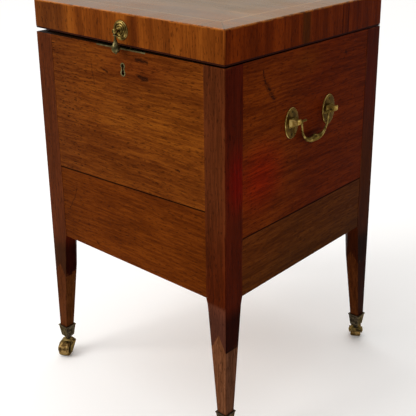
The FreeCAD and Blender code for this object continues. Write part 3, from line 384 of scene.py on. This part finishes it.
def wood(name, along, tones, shift, dress, place_of=None, shares=(0.17, 0.18, 0.37, 0.28), contrast=0.115,
         wave=0.0016, depth=0.00012, gloss=0.32, ior=1.045, specular_tint=(1.0, 0.45, 0.12, 1), **sockets):
    """A polished wood, whose dress adds what age did to it, and some painted light and shade.

    The tones are its dark, middle and light colour. The shift moves the pattern, so that no two woods
    share one. The shares weigh figure, bands, streaks and fine streaks.
    """
    paint = Paint(name)
    grain = Grain(paint, along, place_of(paint) if place_of else None, shift, wave)
    whole = paint.scaled(grain.figure, shares[0])
    for pattern, share in zip((grain.bands, grain.streaks, grain.fine), shares[1:]):
        whole = paint.calc("ADD", whole, paint.scaled(pattern, share))
    value = paint.fit(whole, 0.5 - contrast, 0.5 + contrast)
    dark, middle, light = tones
    colour = paint.ramp(value, [(0.0, dark), (0.5, middle), (1.0, light)])
    pores = paint.fade(grain.pores, 0.31, 0.40)
    colour = tint(paint, colour, pores, times(dark, 0.3), PORE_SHARE)
    roughness = paint.fit(grain.figure, 0.3, 0.7, gloss - 0.05, gloss + 0.09)
    colour, roughness = dress(paint, grain, colour, roughness)
    height = paint.calc("SUBTRACT", grain.streaks, paint.scaled(pores, 0.6))
    return paint.finish(colour, roughness, height, depth, IOR=ior, Specular_Tint=specular_tint, **sockets)


def bared(paint, grain, colour, roughness, mask):
    """Unpolished wood where the mask is."""
    bare = paint.mix(paint.fit(grain.streaks, 0.35, 0.65), BARE_DARK, BARE)
    return paint.mix(mask, colour, bare), paint.mix(mask, roughness, BARE_ROUGHNESS)


def bare_inside(paint, grain, colour, roughness, mask):
    """Unpolished wood inside the case, and old dirt and painted shade on edges that meet another board or the
    lid.
    """
    colour, roughness = bared(paint, grain, colour, roughness, mask)
    level = paint.facing((0, 0, 1), 0.15, 0.4)
    hung = paint.both(paint.facing((0, 0, -1), 0.15, 0.4), paint.over(paint.z, underside + 0.002))
    return tint(paint, colour, paint.most(level, hung), JOINT_DIRT_AND_SHADE, 0.9), roughness


def behind(paint, outward, face, depth=0.004):
    """1 on what lies further in than a depth behind an outer face."""
    return paint.under(outward, face - depth)


def behind_all(paint, depth):
    """1 on what lies further in than a depth behind all four outer faces."""
    return paint.both(behind(paint, paint.unsigned(paint.x), half_width, depth),
                      behind(paint, paint.unsigned(paint.y), half_depth, depth))


def from_the_edges(paint):
    """How far a place on the lid lies in from its right or left edge, and from its front or back edge."""
    return (paint.calc("SUBTRACT", half_width, paint.unsigned(paint.x)),
            paint.calc("SUBTRACT", half_depth, paint.unsigned(paint.y)))


# Painted shade: darker in corners and crevices, found by ambient occlusion.
def shaded_in_hollows(paint, colour, reach=0.012, amount=0.8):
    return multiply(paint, colour, paint.hollows(reach, 0.45, 0.95), HOLLOW_SHADE, amount)


def on_front(along, below):
    """A place on the front: so far right of the middle and below the rim."""
    return (along, -half_depth, rim - below)


def on_right(along, below):
    """A place on the right side: so far behind the middle and below the rim."""
    return (half_width, along, rim - below)


FLAT_AXIS = {on_front: 1, on_right: 0}
# A seam's two ends, along its face and below the rim. The front one rises to the right.
FRONT_SEAM = (-board_end_x, 0.2360), (board_end_x, 0.2263)
RIGHT_SEAM = (-board_end_y, 0.2737), (board_end_y, 0.2737)
SEAM_WIDTH = 0.0048


def dark_marks(paint, colour, face, marks, amount=0.95, broken=0.5):
    """Old scars and cracks on a face, as (start, end, width), that waver and break up a little."""
    wavering = paint.warped(0.0045, 170.0)
    lines = [paint.line(face(*start), face(*end), width, FLAT_AXIS[face], wavering)
             for start, end, width in marks]
    gaps = paint.fit(paint.noise(420.0, 2.0, 0.6, shift=3.0), 0.38, 0.56, 1.0 - broken, 1.0)
    return tint(paint, colour, paint.both(paint.most(*lines), gaps), SCAR, amount)


def seam_dirt(paint, colour, face, start, end):
    """Dirt that has gathered along the seam between two boards of a face."""
    seam = paint.line(face(*start), face(*end), SEAM_WIDTH, FLAT_AXIS[face])
    return tint(paint, colour, seam, SEAM_DIRT, 0.92)


def left_of_front(paint):
    """1 at the left end of the front boards, fading towards their middle."""
    return paint.fade(paint.x, -board_end_x - 0.003, -board_end_x + 0.102)


def front_dress(paint, grain, colour, roughness):
    golden = paint.spot(on_front(0.095, 0.105), (0.12, 0, 0.075), 0.1)
    colour = multiply(paint, colour, golden, (1.36, 1.50, 1.2), 0.8)
    centre = paint.spot(on_front(-0.02, 0.115), (0.06, 0, 0.04), 0.1)
    colour = multiply(paint, colour, centre, (1.2, 1.32, 1.2), 0.6)
    left = left_of_front(paint)
    # Partly painted shade: darker towards the left end of the front.
    colour = multiply(paint, colour, left, (0.86, 0.90, 1.3), 0.8)
    red = paint.spot(on_front(0.03, 0.026), (0.13, 0, 0.034), 0.1)
    colour = multiply(paint, colour, red, (0.80, 0.66, 0.8), 0.8)
    flecks = paint.both(paint.fade(grain.pores, 0.32, 0.42),
                        paint.fit(paint.noise(26.0, 2.0, 0.5, shift=31.0), 0.42, 0.6))
    more_on_the_left = paint.calc("ADD", paint.scaled(left, 0.75), 0.25)
    colour = multiply(paint, colour, paint.both(flecks, more_on_the_left), (0.32, 0.30, 0.35), 0.9)
    ends = paint.fit(paint.unsigned(paint.x), board_end_x - 0.0065, board_end_x - 0.0005)
    colour = multiply(paint, colour, ends, (1.18, 1.2, 1.2), 0.6)
    scratches = [
        ((-0.073, 0.0280), (-0.071, 0.0480), 0.0040),
        ((-0.071, 0.0480), (-0.067, 0.0690), 0.0050),
    ]
    scars = [
        ((0.034, 0.0130), (0.057, 0.0142), 0.0100),
        ((0.037, 0.0385), (0.056, 0.0405), 0.0105),
        ((0.044, 0.0430), (0.053, 0.0435), 0.0070),
        ((-0.043, 0.0405), (-0.034, 0.0430), 0.0060),
        ((0.113, 0.1732), (0.120, 0.1742), 0.0050),
    ]
    colour = dark_marks(paint, colour, on_front, scratches, 0.6, 0.9)
    colour = shaded_in_hollows(paint, dark_marks(paint, colour, on_front, scars, 0.95, 0.25))
    colour = seam_dirt(paint, colour, on_front, *FRONT_SEAM)
    return bare_inside(paint, grain, colour, roughness, behind(paint, paint.scaled(paint.y, -1), half_depth))


def low_front_dress(paint, grain, colour, roughness):
    pale = paint.spot(on_front(0.06, 0.30), (0.15, 0, 0.06), 0.1)
    colour = multiply(paint, colour, pale, (1.15, 1.2, 1.1), 0.6)
    # Partly painted shade: darker towards the left end of the front.
    colour = multiply(paint, colour, left_of_front(paint), (0.88, 0.92, 1.0), 0.8)
    cracks = [
        ((-0.131, 0.2647), (-0.139, 0.2867), 0.0022),
        ((-0.139, 0.2867), (-0.155, 0.3117), 0.0022),
        ((-0.085, 0.3572), (-0.081, 0.3582), 0.0060),
    ]
    colour = shaded_in_hollows(paint, dark_marks(paint, colour, on_front, cracks))
    colour = seam_dirt(paint, colour, on_front, *FRONT_SEAM)
    return bare_inside(paint, grain, colour, roughness, behind(paint, paint.scaled(paint.y, -1), half_depth))


def right_dress(paint, grain, colour, roughness):
    red = paint.spot(on_right(-0.125, 0.187), (0, 0.085, 0.080), 0.05)
    colour = multiply(paint, colour, red, (1.55, 0.44, 0.3), 0.85)
    warm = paint.spot(on_right(-0.135, 0.075), (0, 0.07, 0.09), 0.1)
    colour = multiply(paint, colour, warm, (1.22, 1.3, 1.0), 0.7)
    olive = paint.spot(on_right(0.0, 0.022), (0, 0.06, 0.035), 0.1)
    colour = multiply(paint, colour, olive, (0.95, 1.4, 1.2), 0.6)
    # Partly painted shade: darker and redder towards the rear.
    rear = paint.fit(paint.y, -0.09, 0.03)
    colour = multiply(paint, colour, rear, (0.76, 0.52, 0.5), 0.85)
    scars = [
        ((-0.1205, 0.0200), (-0.1200, 0.0230), 0.0058),
        ((-0.1195, 0.0275), (-0.1180, 0.0300), 0.0076),
        ((-0.1165, 0.0345), (-0.1145, 0.0395), 0.0096),
        ((-0.1120, 0.0430), (-0.1085, 0.0455), 0.0122),
        ((-0.1075, 0.0490), (-0.1035, 0.0530), 0.0132),
        ((-0.1030, 0.0570), (-0.0985, 0.0590), 0.0120),
        ((-0.0990, 0.0625), (-0.0935, 0.0670), 0.0102),
        ((0.1010, 0.0267), (0.1030, 0.0307), 0.0070),
    ]
    colour = shaded_in_hollows(paint, dark_marks(paint, colour, on_right, scars, 1.0, 0.75))
    colour = seam_dirt(paint, colour, on_right, *RIGHT_SEAM)
    return bare_inside(paint, grain, colour, roughness, behind(paint, paint.x, half_width))


def low_right_dress(paint, grain, colour, roughness):
    olive = paint.fade(paint.z, underside, underside + 0.07)
    colour = multiply(paint, colour, olive, (0.72, 0.85, 1.0), 0.8)
    # Partly painted light: paler towards the front end.
    near = paint.fade(paint.y, -board_end_y - 0.008, -board_end_y + 0.148)
    colour = multiply(paint, colour, near, (1.40, 1.25, 1.1), 0.8)
    colour = seam_dirt(paint, shaded_in_hollows(paint, colour), on_right, *RIGHT_SEAM)
    return bare_inside(paint, grain, colour, roughness, behind(paint, paint.x, half_width))


def patchy(paint, colour, by, shift):
    """Soft paler patches, for the sides that the photograph doesn't show."""
    patches = paint.fit(paint.noise(9.0, 3.0, 0.6, shift=shift), 0.45, 0.62)
    return multiply(paint, colour, patches, by, 0.7)


def left_dress(paint, grain, colour, roughness):
    colour = shaded_in_hollows(paint, patchy(paint, colour, (1.2, 1.28, 1.2), 41.0))
    return bare_inside(paint, grain, colour, roughness, behind(paint, paint.scaled(paint.x, -1), half_width))


def back_dress(paint, grain, colour, roughness):
    colour = shaded_in_hollows(paint, patchy(paint, colour, (1.15, 1.2, 1.2), 47.0))
    return bare_inside(paint, grain, colour, roughness, behind(paint, paint.y, half_depth))


def splice_line(paint, colour, where):
    """The open joint of the front right leg's splice, on its right face."""
    front_end = (half_width, -half_depth, splice + 0.0022)
    rear_end = (half_width, -half_depth + 0.0295, splice + 0.0003)
    joint = paint.line(front_end, rear_end, 0.0046, FLAT_AXIS[on_right])
    return tint(paint, colour, paint.both(joint, where), SCAR, 0.9)


def stile_dress(paint, grain, colour, roughness):
    side, front = paint.facing((1, 0, 0)), paint.facing((0, -1, 0))
    on_the_right, on_the_left = paint.over(paint.x, 0.0), paint.under(paint.x, 0.0)
    rear_right = paint.both(paint.over(paint.y, 0.0), on_the_right)
    # Partly painted shade: the faces to the right are darker and redder, and darker still towards the top.
    colour = multiply(paint, colour, side, (0.82, 0.34, 0.30), 0.9)
    high = paint.fit(paint.z, rim - 0.20, rim - 0.04)
    colour = multiply(paint, colour, paint.both(side, high), (0.80, 0.70, 0.8), 0.9)
    red = paint.spot(on_right(-0.180, 0.175), (0, 0.035, 0.075), 0.1)
    colour = multiply(paint, colour, paint.both(red, side), (2.05, 0.42, 0.6), 0.85)
    # Partly painted shade: the front faces on the right darken and redden towards the bottom.
    low_shade_and_red = paint.fade(paint.z, underside, rim - 0.16)
    colour = multiply(paint, colour, paint.both(low_shade_and_red, on_the_right, front), (0.74, 0.42, 0.24), 0.85)
    # A painted sheen: a pale, greyish patch on the front of the front right leg below the case.
    painted_sheen = paint.both(paint.fade(paint.z, underside - 0.012, underside - 0.003),
                       paint.under(paint.y, 0.0), on_the_right, front)
    colour = multiply(paint, colour, painted_sheen, (1.75, 3.4, 9.0), 0.85)
    leg = paint.fade(paint.z, underside - 0.035, underside - 0.002)
    # Painted shade: below the case the legs' right faces are nearly black and their fronts darker.
    colour = multiply(paint, colour, paint.both(leg, side), (0.24, 0.24, 0.3), 0.95)
    colour = multiply(paint, colour, paint.both(leg, front), (0.66, 0.75, 0.9), 0.9)
    colour = multiply(paint, colour, paint.both(rear_right, front), (0.74, 0.92, 1.0), 0.9)
    low = paint.fade(paint.z, rim - 0.24, rim - 0.08)
    colour = multiply(paint, colour, paint.both(rear_right, side, low), (0.62, 1.15, 0.7), 0.9)
    # A painted highlight: a lighter strip a few millimetres in from the outer arris, on the front faces.
    arris = paint.both(paint.fit(paint.unsigned(paint.x), half_width - 0.0068, half_width - 0.0035),
                       paint.fit(paint.unsigned(paint.x), half_width - 0.0020, half_width - 0.0002, 1.0, 0.2))
    colour = multiply(paint, colour, paint.both(arris, front), (1.35, 1.3, 1.3), 0.6)
    colour = splice_line(paint, colour, paint.both(side, on_the_right))
    # Partly painted shade: the left legs' fronts darker still below the case.
    colour = multiply(paint, colour, paint.both(leg, on_the_left, front), (0.62, 0.72, 0.6), 0.9)
    worn = paint.both(paint.edges(0.004), paint.fit(paint.noise((60, 60, 14), 3.0, 0.6), 0.45, 0.66))
    colour = tint(paint, colour, worn, tone(140, 74, 36), 0.30)
    colour = shaded_in_hollows(paint, colour, 0.010, 0.7)
    inside = paint.both(behind_all(paint, 0.010), paint.fit(paint.z, underside, underside + 0.002))
    return bare_inside(paint, grain, colour, roughness, inside)


def tip_dress(paint, grain, colour, roughness):
    side = paint.facing((1, 0, 0))
    on_the_left, on_the_right = paint.under(paint.x, 0.0), paint.over(paint.x, 0.0)
    rear = paint.over(paint.y, 0.0)
    colour = multiply(paint, colour, paint.most(on_the_left, rear), (0.50, 0.34, 0.18), 0.95)
    colour = multiply(paint, colour, paint.both(on_the_left, side), (1.15, 1.30, 1.2), 0.9)
    # Painted shade: the right faces of the right tips are darker, the rear one nearly black.
    colour = multiply(paint, colour, paint.both(on_the_right, side), (0.80, 0.82, 0.95), 0.9)
    colour = multiply(paint, colour, paint.both(on_the_right, rear, side), (0.34, 0.22, 0.25), 0.9)
    high = paint.fit(paint.z, cup_top + 0.03, underside - 0.03)
    colour = multiply(paint, colour, high, (0.92, 0.84, 0.74), 0.8)
    colour = splice_line(paint, colour, paint.both(side, on_the_right))
    scuffs = paint.fit(paint.noise((90, 90, 34), 4.0, 0.7), 0.60, 0.72)
    colour = tint(paint, colour, scuffs, tone(46, 24, 12), 0.4)
    return shaded_in_hollows(paint, colour, 0.010), paint.calc("ADD", roughness, 0.1)


def rail_dress(paint, grain, colour, roughness):
    side, front = paint.facing((1, 0, 0)), paint.facing((0, -1, 0))
    sheets = paint.noise((15.0, 15.0, 0.8), 2.0, 0.6, shift=21.0)
    colour = multiply(paint, colour, paint.fit(sheets, 0.54, 0.66), (1.20, 1.28, 1.3), 0.6)
    colour = multiply(paint, colour, paint.fade(sheets, 0.34, 0.46), (0.76, 0.70, 0.7), 0.75)
    # Partly painted shade: the faces to the right are darker and redder.
    colour = multiply(paint, colour, side, (0.66, 0.34, 0.26), 0.9)
    far_end = paint.fade(paint.x, -half_width + 0.032, -half_width + 0.122)
    colour = multiply(paint, colour, paint.both(far_end, front), (0.60, 0.66, 1.1), 0.9)
    # Partly painted shade: the faces to the right darker still towards the rear.
    rear = paint.fit(paint.y, -0.05, 0.20)
    colour = multiply(paint, colour, paint.both(rear, side), (0.80, 0.68, 0.8), 0.9)
    bright = paint.spot((-0.130, -half_depth, rail_middle), (0.016, 0, 0.09), 0.4)
    colour = multiply(paint, colour, paint.both(bright, front), (1.25, 1.35, 1.2), 0.6)
    dark = paint.spot((0.032, -half_depth, rail_middle), (0.012, 0, 0.09), 0.2)
    colour = multiply(paint, colour, paint.both(dark, front), (0.72, 0.62, 0.7), 0.8)
    olive = paint.spot((half_width, -0.0145, rail_middle), (0, 0.015, 0.09), 0.4)
    colour = multiply(paint, colour, paint.both(olive, side), (0.55, 0.95, 1.4), 0.9)
    joints = [paint.line((half_width, y, rim), (half_width, y, lid_top), 0.0056, FLAT_AXIS[on_right])
              for y in (0.088, 0.104)]
    colour = multiply(paint, colour, paint.both(paint.most(*joints), side), (0.22, 0.16, 0.2), 0.9)
    # The worn top arris, lighter: wear and partly a painted highlight.
    arris = paint.fit(paint.z, lid_top - 0.0038, lid_top - 0.0022)
    worn = paint.both(arris, paint.fit(paint.noise((70, 70, 20), 3.0, 0.6), 0.36, 0.60))
    colour = tint(paint, colour, worn, tone(172, 98, 30), 0.45)
    corner = paint.both(paint.fit(paint.unsigned(paint.x), half_width - 0.0034, half_width - 0.0014),
                        paint.fit(paint.unsigned(paint.y), half_depth - 0.0034, half_depth - 0.0014),
                        paint.fit(paint.z, rim, lid_top))
    colour = tint(paint, colour, corner, tone(170, 90, 30), 0.35)
    colour = shaded_in_hollows(paint, colour, 0.008)
    lip = paint.fit(paint.calc("MINIMUM", *from_the_edges(paint)), 0.00040, 0.00055)
    colour = tint(paint, colour, lip, tone(34, 14, 12), 0.9)
    return bare_inside(paint, grain, colour, roughness, behind_all(paint, 0.004))


def band_place(paint):
    """Coordinates whose first axis runs across the banding, on each of its four sides."""
    from_side, from_front = from_the_edges(paint)
    on_front_or_back = paint.fit(paint.calc("SUBTRACT", from_side, from_front), -0.00005, 0.00005)
    along_y = paint.node("ShaderNodeCombineXYZ", {0: paint.y, 1: paint.x, 2: paint.z}).outputs[0]
    return paint.mix(on_front_or_back, paint.place, along_y)


INLAY = 0.0440          # how far the inlaid line lies in from the lid's edges


def reflection_and_brown(paint, colour):
    """The lid's top: a painted reflection, a pale streak a hand's width behind its front edge, and browner
    behind that.
    """
    from_front = paint.calc("ADD", paint.y, half_depth)
    # A painted reflection: the pale, greyish streak.
    streak = paint.both(paint.fit(from_front, 0.080, 0.098), paint.fade(from_front, 0.112, 0.126))
    colour = multiply(paint, colour, streak, (1.35, 2.1, 3.6), 0.8)
    brown = paint.both(paint.fit(from_front, 0.112, 0.126), paint.fit(paint.x, 0.13, 0.17, 1.0, 0.3))
    return multiply(paint, colour, brown, (0.60, 0.86, 1.05), 0.9)


def band_dress(paint, grain, colour, roughness):
    from_side, from_front = from_the_edges(paint)
    mitre = paint.fade(paint.unsigned(paint.calc("SUBTRACT", from_side, from_front)), 0.0002, 0.0016)
    # Where one sheet of banding ends and the next begins, on the front, the back and the left.
    ends = [
        ((-0.105, -0.21), (-0.101, -0.17)), ((0.165, -0.21), (0.163, -0.17)),
        ((-0.020, 0.17), (-0.022, 0.21)), ((-0.170, 0.03), (-0.215, 0.028)),
    ]
    joints = paint.most(*[paint.line(start + (lid_top,), end + (lid_top,), 0.0044, AXES["z"])
                          for start, end in ends])
    colour = reflection_and_brown(paint, colour)
    colour = tint(paint, colour, paint.most(mitre, joints), tone(34, 17, 8), 0.9)
    # The worn outer edge of the top, lighter: wear and partly a painted highlight.
    edge = paint.fade(paint.calc("MINIMUM", from_side, from_front), 0.0004, 0.0022)
    worn = paint.both(edge, paint.fit(paint.noise(60.0, 3.0, 0.6), 0.34, 0.58))
    return tint(paint, colour, worn, tone(190, 112, 40), 0.6), roughness


def field_dress(paint, grain, colour, roughness):
    inward = paint.calc("MINIMUM", *from_the_edges(paint))
    colour = reflection_and_brown(paint, colour)
    pale_line = paint.fade(inward, INLAY - 0.0032, INLAY)
    colour = tint(paint, colour, pale_line, tone(170, 128, 82), 0.3)
    dark_line = paint.both(paint.fit(inward, INLAY - 0.0010, INLAY - 0.0002),
                           paint.fade(inward, INLAY + 0.0004, INLAY + 0.0012))
    colour = tint(paint, colour, dark_line, tone(34, 18, 10), 0.5)
    stains = paint.fit(paint.noise(11.0, 4.0, 0.6), 0.50, 0.62)
    colour = multiply(paint, colour, stains, (0.66, 0.6, 0.55), 0.7)
    pale = paint.fit(paint.noise((4.0, 11.0, 1.0), 3.0, 0.6, shift=57.0), 0.50, 0.60)
    colour = multiply(paint, colour, pale, (1.25, 1.35, 1.6), 0.7)
    return bared(paint, grain, colour, roughness, paint.under(paint.z, lid_top - 0.004))


def plain_dress(paint, grain, colour, roughness):
    # Painted shade: darker in corners and crevices.
    colour = multiply(paint, colour, paint.hollows(0.02, 0.3, 0.95), (0.45, 0.4, 0.36), 0.7)
    return colour, paint.calc("ADD", roughness, 0.2)


# The lid's top is glossier than the sides, under a thin haze of old wax.
LID_TOP_FINISH = {
    "shares": (0.34, 0.30, 0.24, 0.12), "contrast": 0.10, "depth": 0.00003,
    "gloss": 0.24, "ior": 1.26, "specular_tint": (1, 1, 1, 1),
    "Sheen_Weight": 0.25, "Sheen_Tint": (1.0, 0.70, 0.35, 1), "Sheen_Roughness": 0.5,
}


def make_woods():
    made = {}
    made["front"] = wood(
        "front_boards", "x", (tone(74, 31, 5), tone(94, 44, 9), tone(114, 58, 13)), 1.0, front_dress,
        wave=0.0024)
    made["front_low"] = wood(
        "front_board_low", "x", (tone(70, 27, 3), tone(87, 37, 5), tone(104, 48, 8)), 7.0, low_front_dress,
        wave=0.0022)
    made["right"] = wood(
        "right_boards", "y", (tone(70, 22, 2), tone(88, 32, 4), tone(106, 43, 6)), 17.0, right_dress)
    made["right_low"] = wood(
        "right_board_low", "y", (tone(60, 25, 4), tone(74, 34, 7), tone(89, 44, 11)), 23.0, low_right_dress)
    made["left"] = wood(
        "left_boards", "y", (tone(66, 25, 3), tone(86, 35, 4), tone(108, 49, 7)), 33.0, left_dress)
    made["back"] = wood(
        "back_boards", "x", (tone(62, 28, 10), tone(86, 42, 17), tone(108, 58, 26)), 49.0, back_dress,
        gloss=0.5)
    made["stile"] = wood(
        "stiles", "z", (tone(63, 28, 10), tone(74, 33, 13), tone(86, 40, 17)), 65.0, stile_dress,
        wave=0.0010)
    made["tip"] = wood(
        "leg_tips", "z", (tone(78, 44, 24), tone(102, 62, 38), tone(122, 78, 52)), 81.0, tip_dress,
        wave=0.0010)
    made["rail"] = wood(
        "lid_rails", "z", (tone(84, 38, 8), tone(106, 51, 12), tone(128, 66, 17)), 97.0, rail_dress,
        shares=(0.20, 0.38, 0.24, 0.18), contrast=0.125, wave=0.0012)
    made["band"] = wood(
        "crossbanding", "x", (tone(82, 40, 12), tone(100, 51, 16), tone(120, 66, 23)), 113.0, band_dress,
        place_of=band_place, **LID_TOP_FINISH)
    made["field"] = wood(
        "lid_field", "x", (tone(78, 39, 14), tone(97, 50, 18), tone(118, 66, 26)), 129.0, field_dress,
        **LID_TOP_FINISH)
    made["inner"] = wood(
        "bare_inner_wood", "x", (tone(118, 80, 44), tone(146, 104, 62), tone(168, 124, 80)), 145.0,
        plain_dress, gloss=0.6)
    return made


# ---- Metal ----

PATINA = (0.42, 0.62)   # where the cloudy noise goes from dark patina to clean metal


def metal(name, dark, middle, light, gloss=0.30, scale=90.0, depth=0.00008, spots=0.0, grime_reach=0.004,
          rubbed=0.5, metallic=0.85, sunk=None):
    """An aged metal: bright where it is rubbed, darker with patina in between and in its crevices.

    The mask sunk darkens what the polishing cloth doesn't reach.
    """
    paint = Paint(name)
    cloudy = paint.noise(scale, 5.0, 0.62)
    fine = paint.noise(scale * 7, 3.0, 0.6, shift=4.0)
    colour = paint.ramp(paint.fit(cloudy, *PATINA), [(0.0, dark), (0.55, middle), (1.0, light)])
    pits = paint.fade(fine, 0.33, 0.43)
    colour = tint(paint, colour, pits, dark, 0.5 + spots / 2)
    if spots:
        blots = paint.fit(paint.noise(scale * 2.6, 2.0, 0.5, shift=11.0), 0.56, 0.62)
        colour = tint(paint, colour, blots, times(dark, 0.4), spots)
    if sunk:
        colour = multiply(paint, colour, sunk(paint), (0.13, 0.095, 0.042), 1.0)
    colour = tint(paint, colour, paint.edges(0.0016), times(light, 1.6), rubbed)
    crevice = paint.hollows(grime_reach, 0.35, 0.9)
    colour = tint(paint, colour, crevice, times(dark, 0.35), 0.8)
    roughness = paint.calc("ADD", paint.fit(cloudy, 0.35, 0.65, gloss + 0.14, gloss - 0.04),
                           paint.scaled(crevice, 0.25))
    height = paint.calc("ADD", cloudy, paint.scaled(fine, 0.4))
    return paint.finish(colour, roughness, height, depth, Metallic=metallic, IOR=1.2,
                        Specular_Tint=(1.0, 0.80, 0.48, 1))


def plate_field(paint):
    """1 on the flat field of a handle's back plate, 0 on its rim and its post."""
    level = paint.fit(paint.unsigned(paint.vector("DOT_PRODUCT", paint.normal, (1, 0, 0))), 0.90, 0.99)
    return paint.both(level, paint.under(paint.unsigned(paint.x), half_width + 0.003))


def make_metals():
    made = {}
    made["brass"] = metal(
        "aged_brass", tone(74, 57, 24), tone(110, 89, 43), tone(150, 128, 72), 0.24, grime_reach=0.0026)
    made["selvedge"] = metal(
        "selvedge_brass", tone(40, 36, 22), tone(60, 54, 35), tone(84, 77, 52), 0.4)
    # Its light tones stay on the rim and the post, rubbed bright and partly a painted highlight; plate_field
    # darkens the field to patina.
    made["plate"] = metal(
        "plate_brass", tone(132, 104, 48), tone(170, 140, 70), tone(220, 192, 116), 0.26,
        rubbed=0.0, metallic=0.6, sunk=plate_field)
    made["olive"] = metal(
        "olive_brass", tone(60, 54, 32), tone(86, 78, 48), tone(116, 106, 72), 0.36, rubbed=0.3)
    made["fork"] = metal(
        "fork_brass", tone(50, 39, 21), tone(80, 65, 36), tone(122, 102, 60), 0.34, scale=140.0)
    made["dull_brass"] = metal(
        "dull_brass", tone(76, 62, 30), tone(100, 82, 42), tone(128, 108, 62), 0.38)
    made["screw"] = metal(
        "screw_brass", tone(14, 10, 6), tone(27, 21, 12), tone(54, 44, 26), 0.44, rubbed=0.12)
    made["cup"] = metal(
        "cup_brass", tone(44, 38, 30), tone(64, 56, 45), tone(92, 82, 67), 0.46, scale=170.0, depth=0.00025)
    made["wheel"] = metal(
        "wheel_brass", tone(74, 54, 28), tone(110, 86, 47), tone(152, 124, 76), 0.28, scale=110.0, spots=0.25)
    made["iron"] = metal(
        "iron", tone(28, 22, 18), tone(70, 60, 52), tone(112, 100, 90), 0.48, scale=160.0)
    return made


# ---- Which node gets what ----

# In both tables the first start that fits a node's name counts.
NODE_FINISH = {
    "front_board_lower": "front_low", "right_board_lower": "right_low",
    "front_board": "front", "right_board": "right", "left_board": "left", "back_board": "back",
    "leg_tip": "tip", "leg_": "stile", "lid_rail": "rail", "lid_crossbanding": "band",
    "lid_top_board": "field", "case_floor": "inner", "divider": "inner",
    "castor_cup": "cup", "castor_fork": "fork", "castor_wheel": "wheel",
    "lock_case": "iron", "lock_bolt": "dull_brass", "lock_plate": "selvedge", "link_plate": "dull_brass",
    "hinge": "dull_brass", "screws_case": "screw", "screws": "dull_brass",
    "handle_plates": "plate", "escutcheon": "olive", "pull_drop": "olive",
}
EDGE_ROUNDING = {
    "front_board": 0.0009, "right_board": 0.0009, "left_board": 0.0009, "back_board": 0.0009,
    "leg_tip": 0.0006, "leg_": 0.0007, "lid_rail": 0.0006, "lid_crossbanding": 0.0003,
    "case_floor": 0.001, "divider": 0.001, "castor_cup": 0.0004, "castor_fork": 0.0004,
    "lock_plate": 0.0002, "handle_plates": 0.0003, "lock_bolt": 0.0003,
}
WELD_DISTANCE = 0.000004
SMOOTH_BELOW = math.radians(28)
ROUND_ABOVE = math.radians(32)


def lookup(table, node, otherwise):
    for start, value in table.items():
        if node.startswith(start):
            return value
    return otherwise


def weld_group():
    """Welds a node's split vertices and shades it smooth but for its real edges."""
    group = bpy.data.node_groups.new("weld_and_shade", "GeometryNodeTree")
    group.interface.new_socket("Geometry", in_out="INPUT", socket_type="NodeSocketGeometry")
    group.interface.new_socket("Geometry", in_out="OUTPUT", socket_type="NodeSocketGeometry")
    nodes, link = group.nodes, group.links.new
    start, end = nodes.new("NodeGroupInput"), nodes.new("NodeGroupOutput")
    merge = nodes.new("GeometryNodeMergeByDistance")
    merge.inputs["Distance"].default_value = WELD_DISTANCE
    drop = nodes.new("GeometryNodeRemoveAttribute")
    drop.inputs["Name"].default_value = "custom_normal"
    faces = nodes.new("GeometryNodeSetShadeSmooth")
    faces.domain = "FACE"
    edges = nodes.new("GeometryNodeSetShadeSmooth")
    edges.domain = "EDGE"
    angle = nodes.new("GeometryNodeInputMeshEdgeAngle")
    compare = nodes.new("FunctionNodeCompare")
    compare.data_type = "FLOAT"
    compare.operation = "LESS_THAN"
    compare.inputs[1].default_value = SMOOTH_BELOW
    link(start.outputs[0], merge.inputs["Geometry"])
    link(merge.outputs[0], drop.inputs["Geometry"])
    link(drop.outputs[0], faces.inputs["Geometry"])
    link(faces.outputs[0], edges.inputs["Geometry"])
    link(angle.outputs["Unsigned Angle"], compare.inputs[0])
    link(compare.outputs[0], edges.inputs["Shade Smooth"])
    link(edges.outputs[0], end.inputs[0])
    return group


def round_edges(piece, width, group):
    weld = piece.modifiers.new("weld", "NODES")
    weld.node_group = group
    bevel = piece.modifiers.new("rounding", "BEVEL")
    bevel.width = width
    bevel.segments = 2
    bevel.limit_method = "ANGLE"
    bevel.angle_limit = ROUND_ABOVE
    bevel.harden_normals = True


def dress_nodes():
    made = {**make_woods(), **make_metals()}
    group = weld_group()
    for name, piece in frame["nodes"].items():
        for slot in piece.material_slots:
            slot.material = made[lookup(NODE_FINISH, name, "brass")]
        width = lookup(EDGE_ROUNDING, name, 0.0)
        if width:
            round_edges(piece, width, group)


aim_camera()
make_sky()
make_lamp()
make_floor()
dress_nodes()
bpy.context.scene.view_settings.view_transform = "Standard"
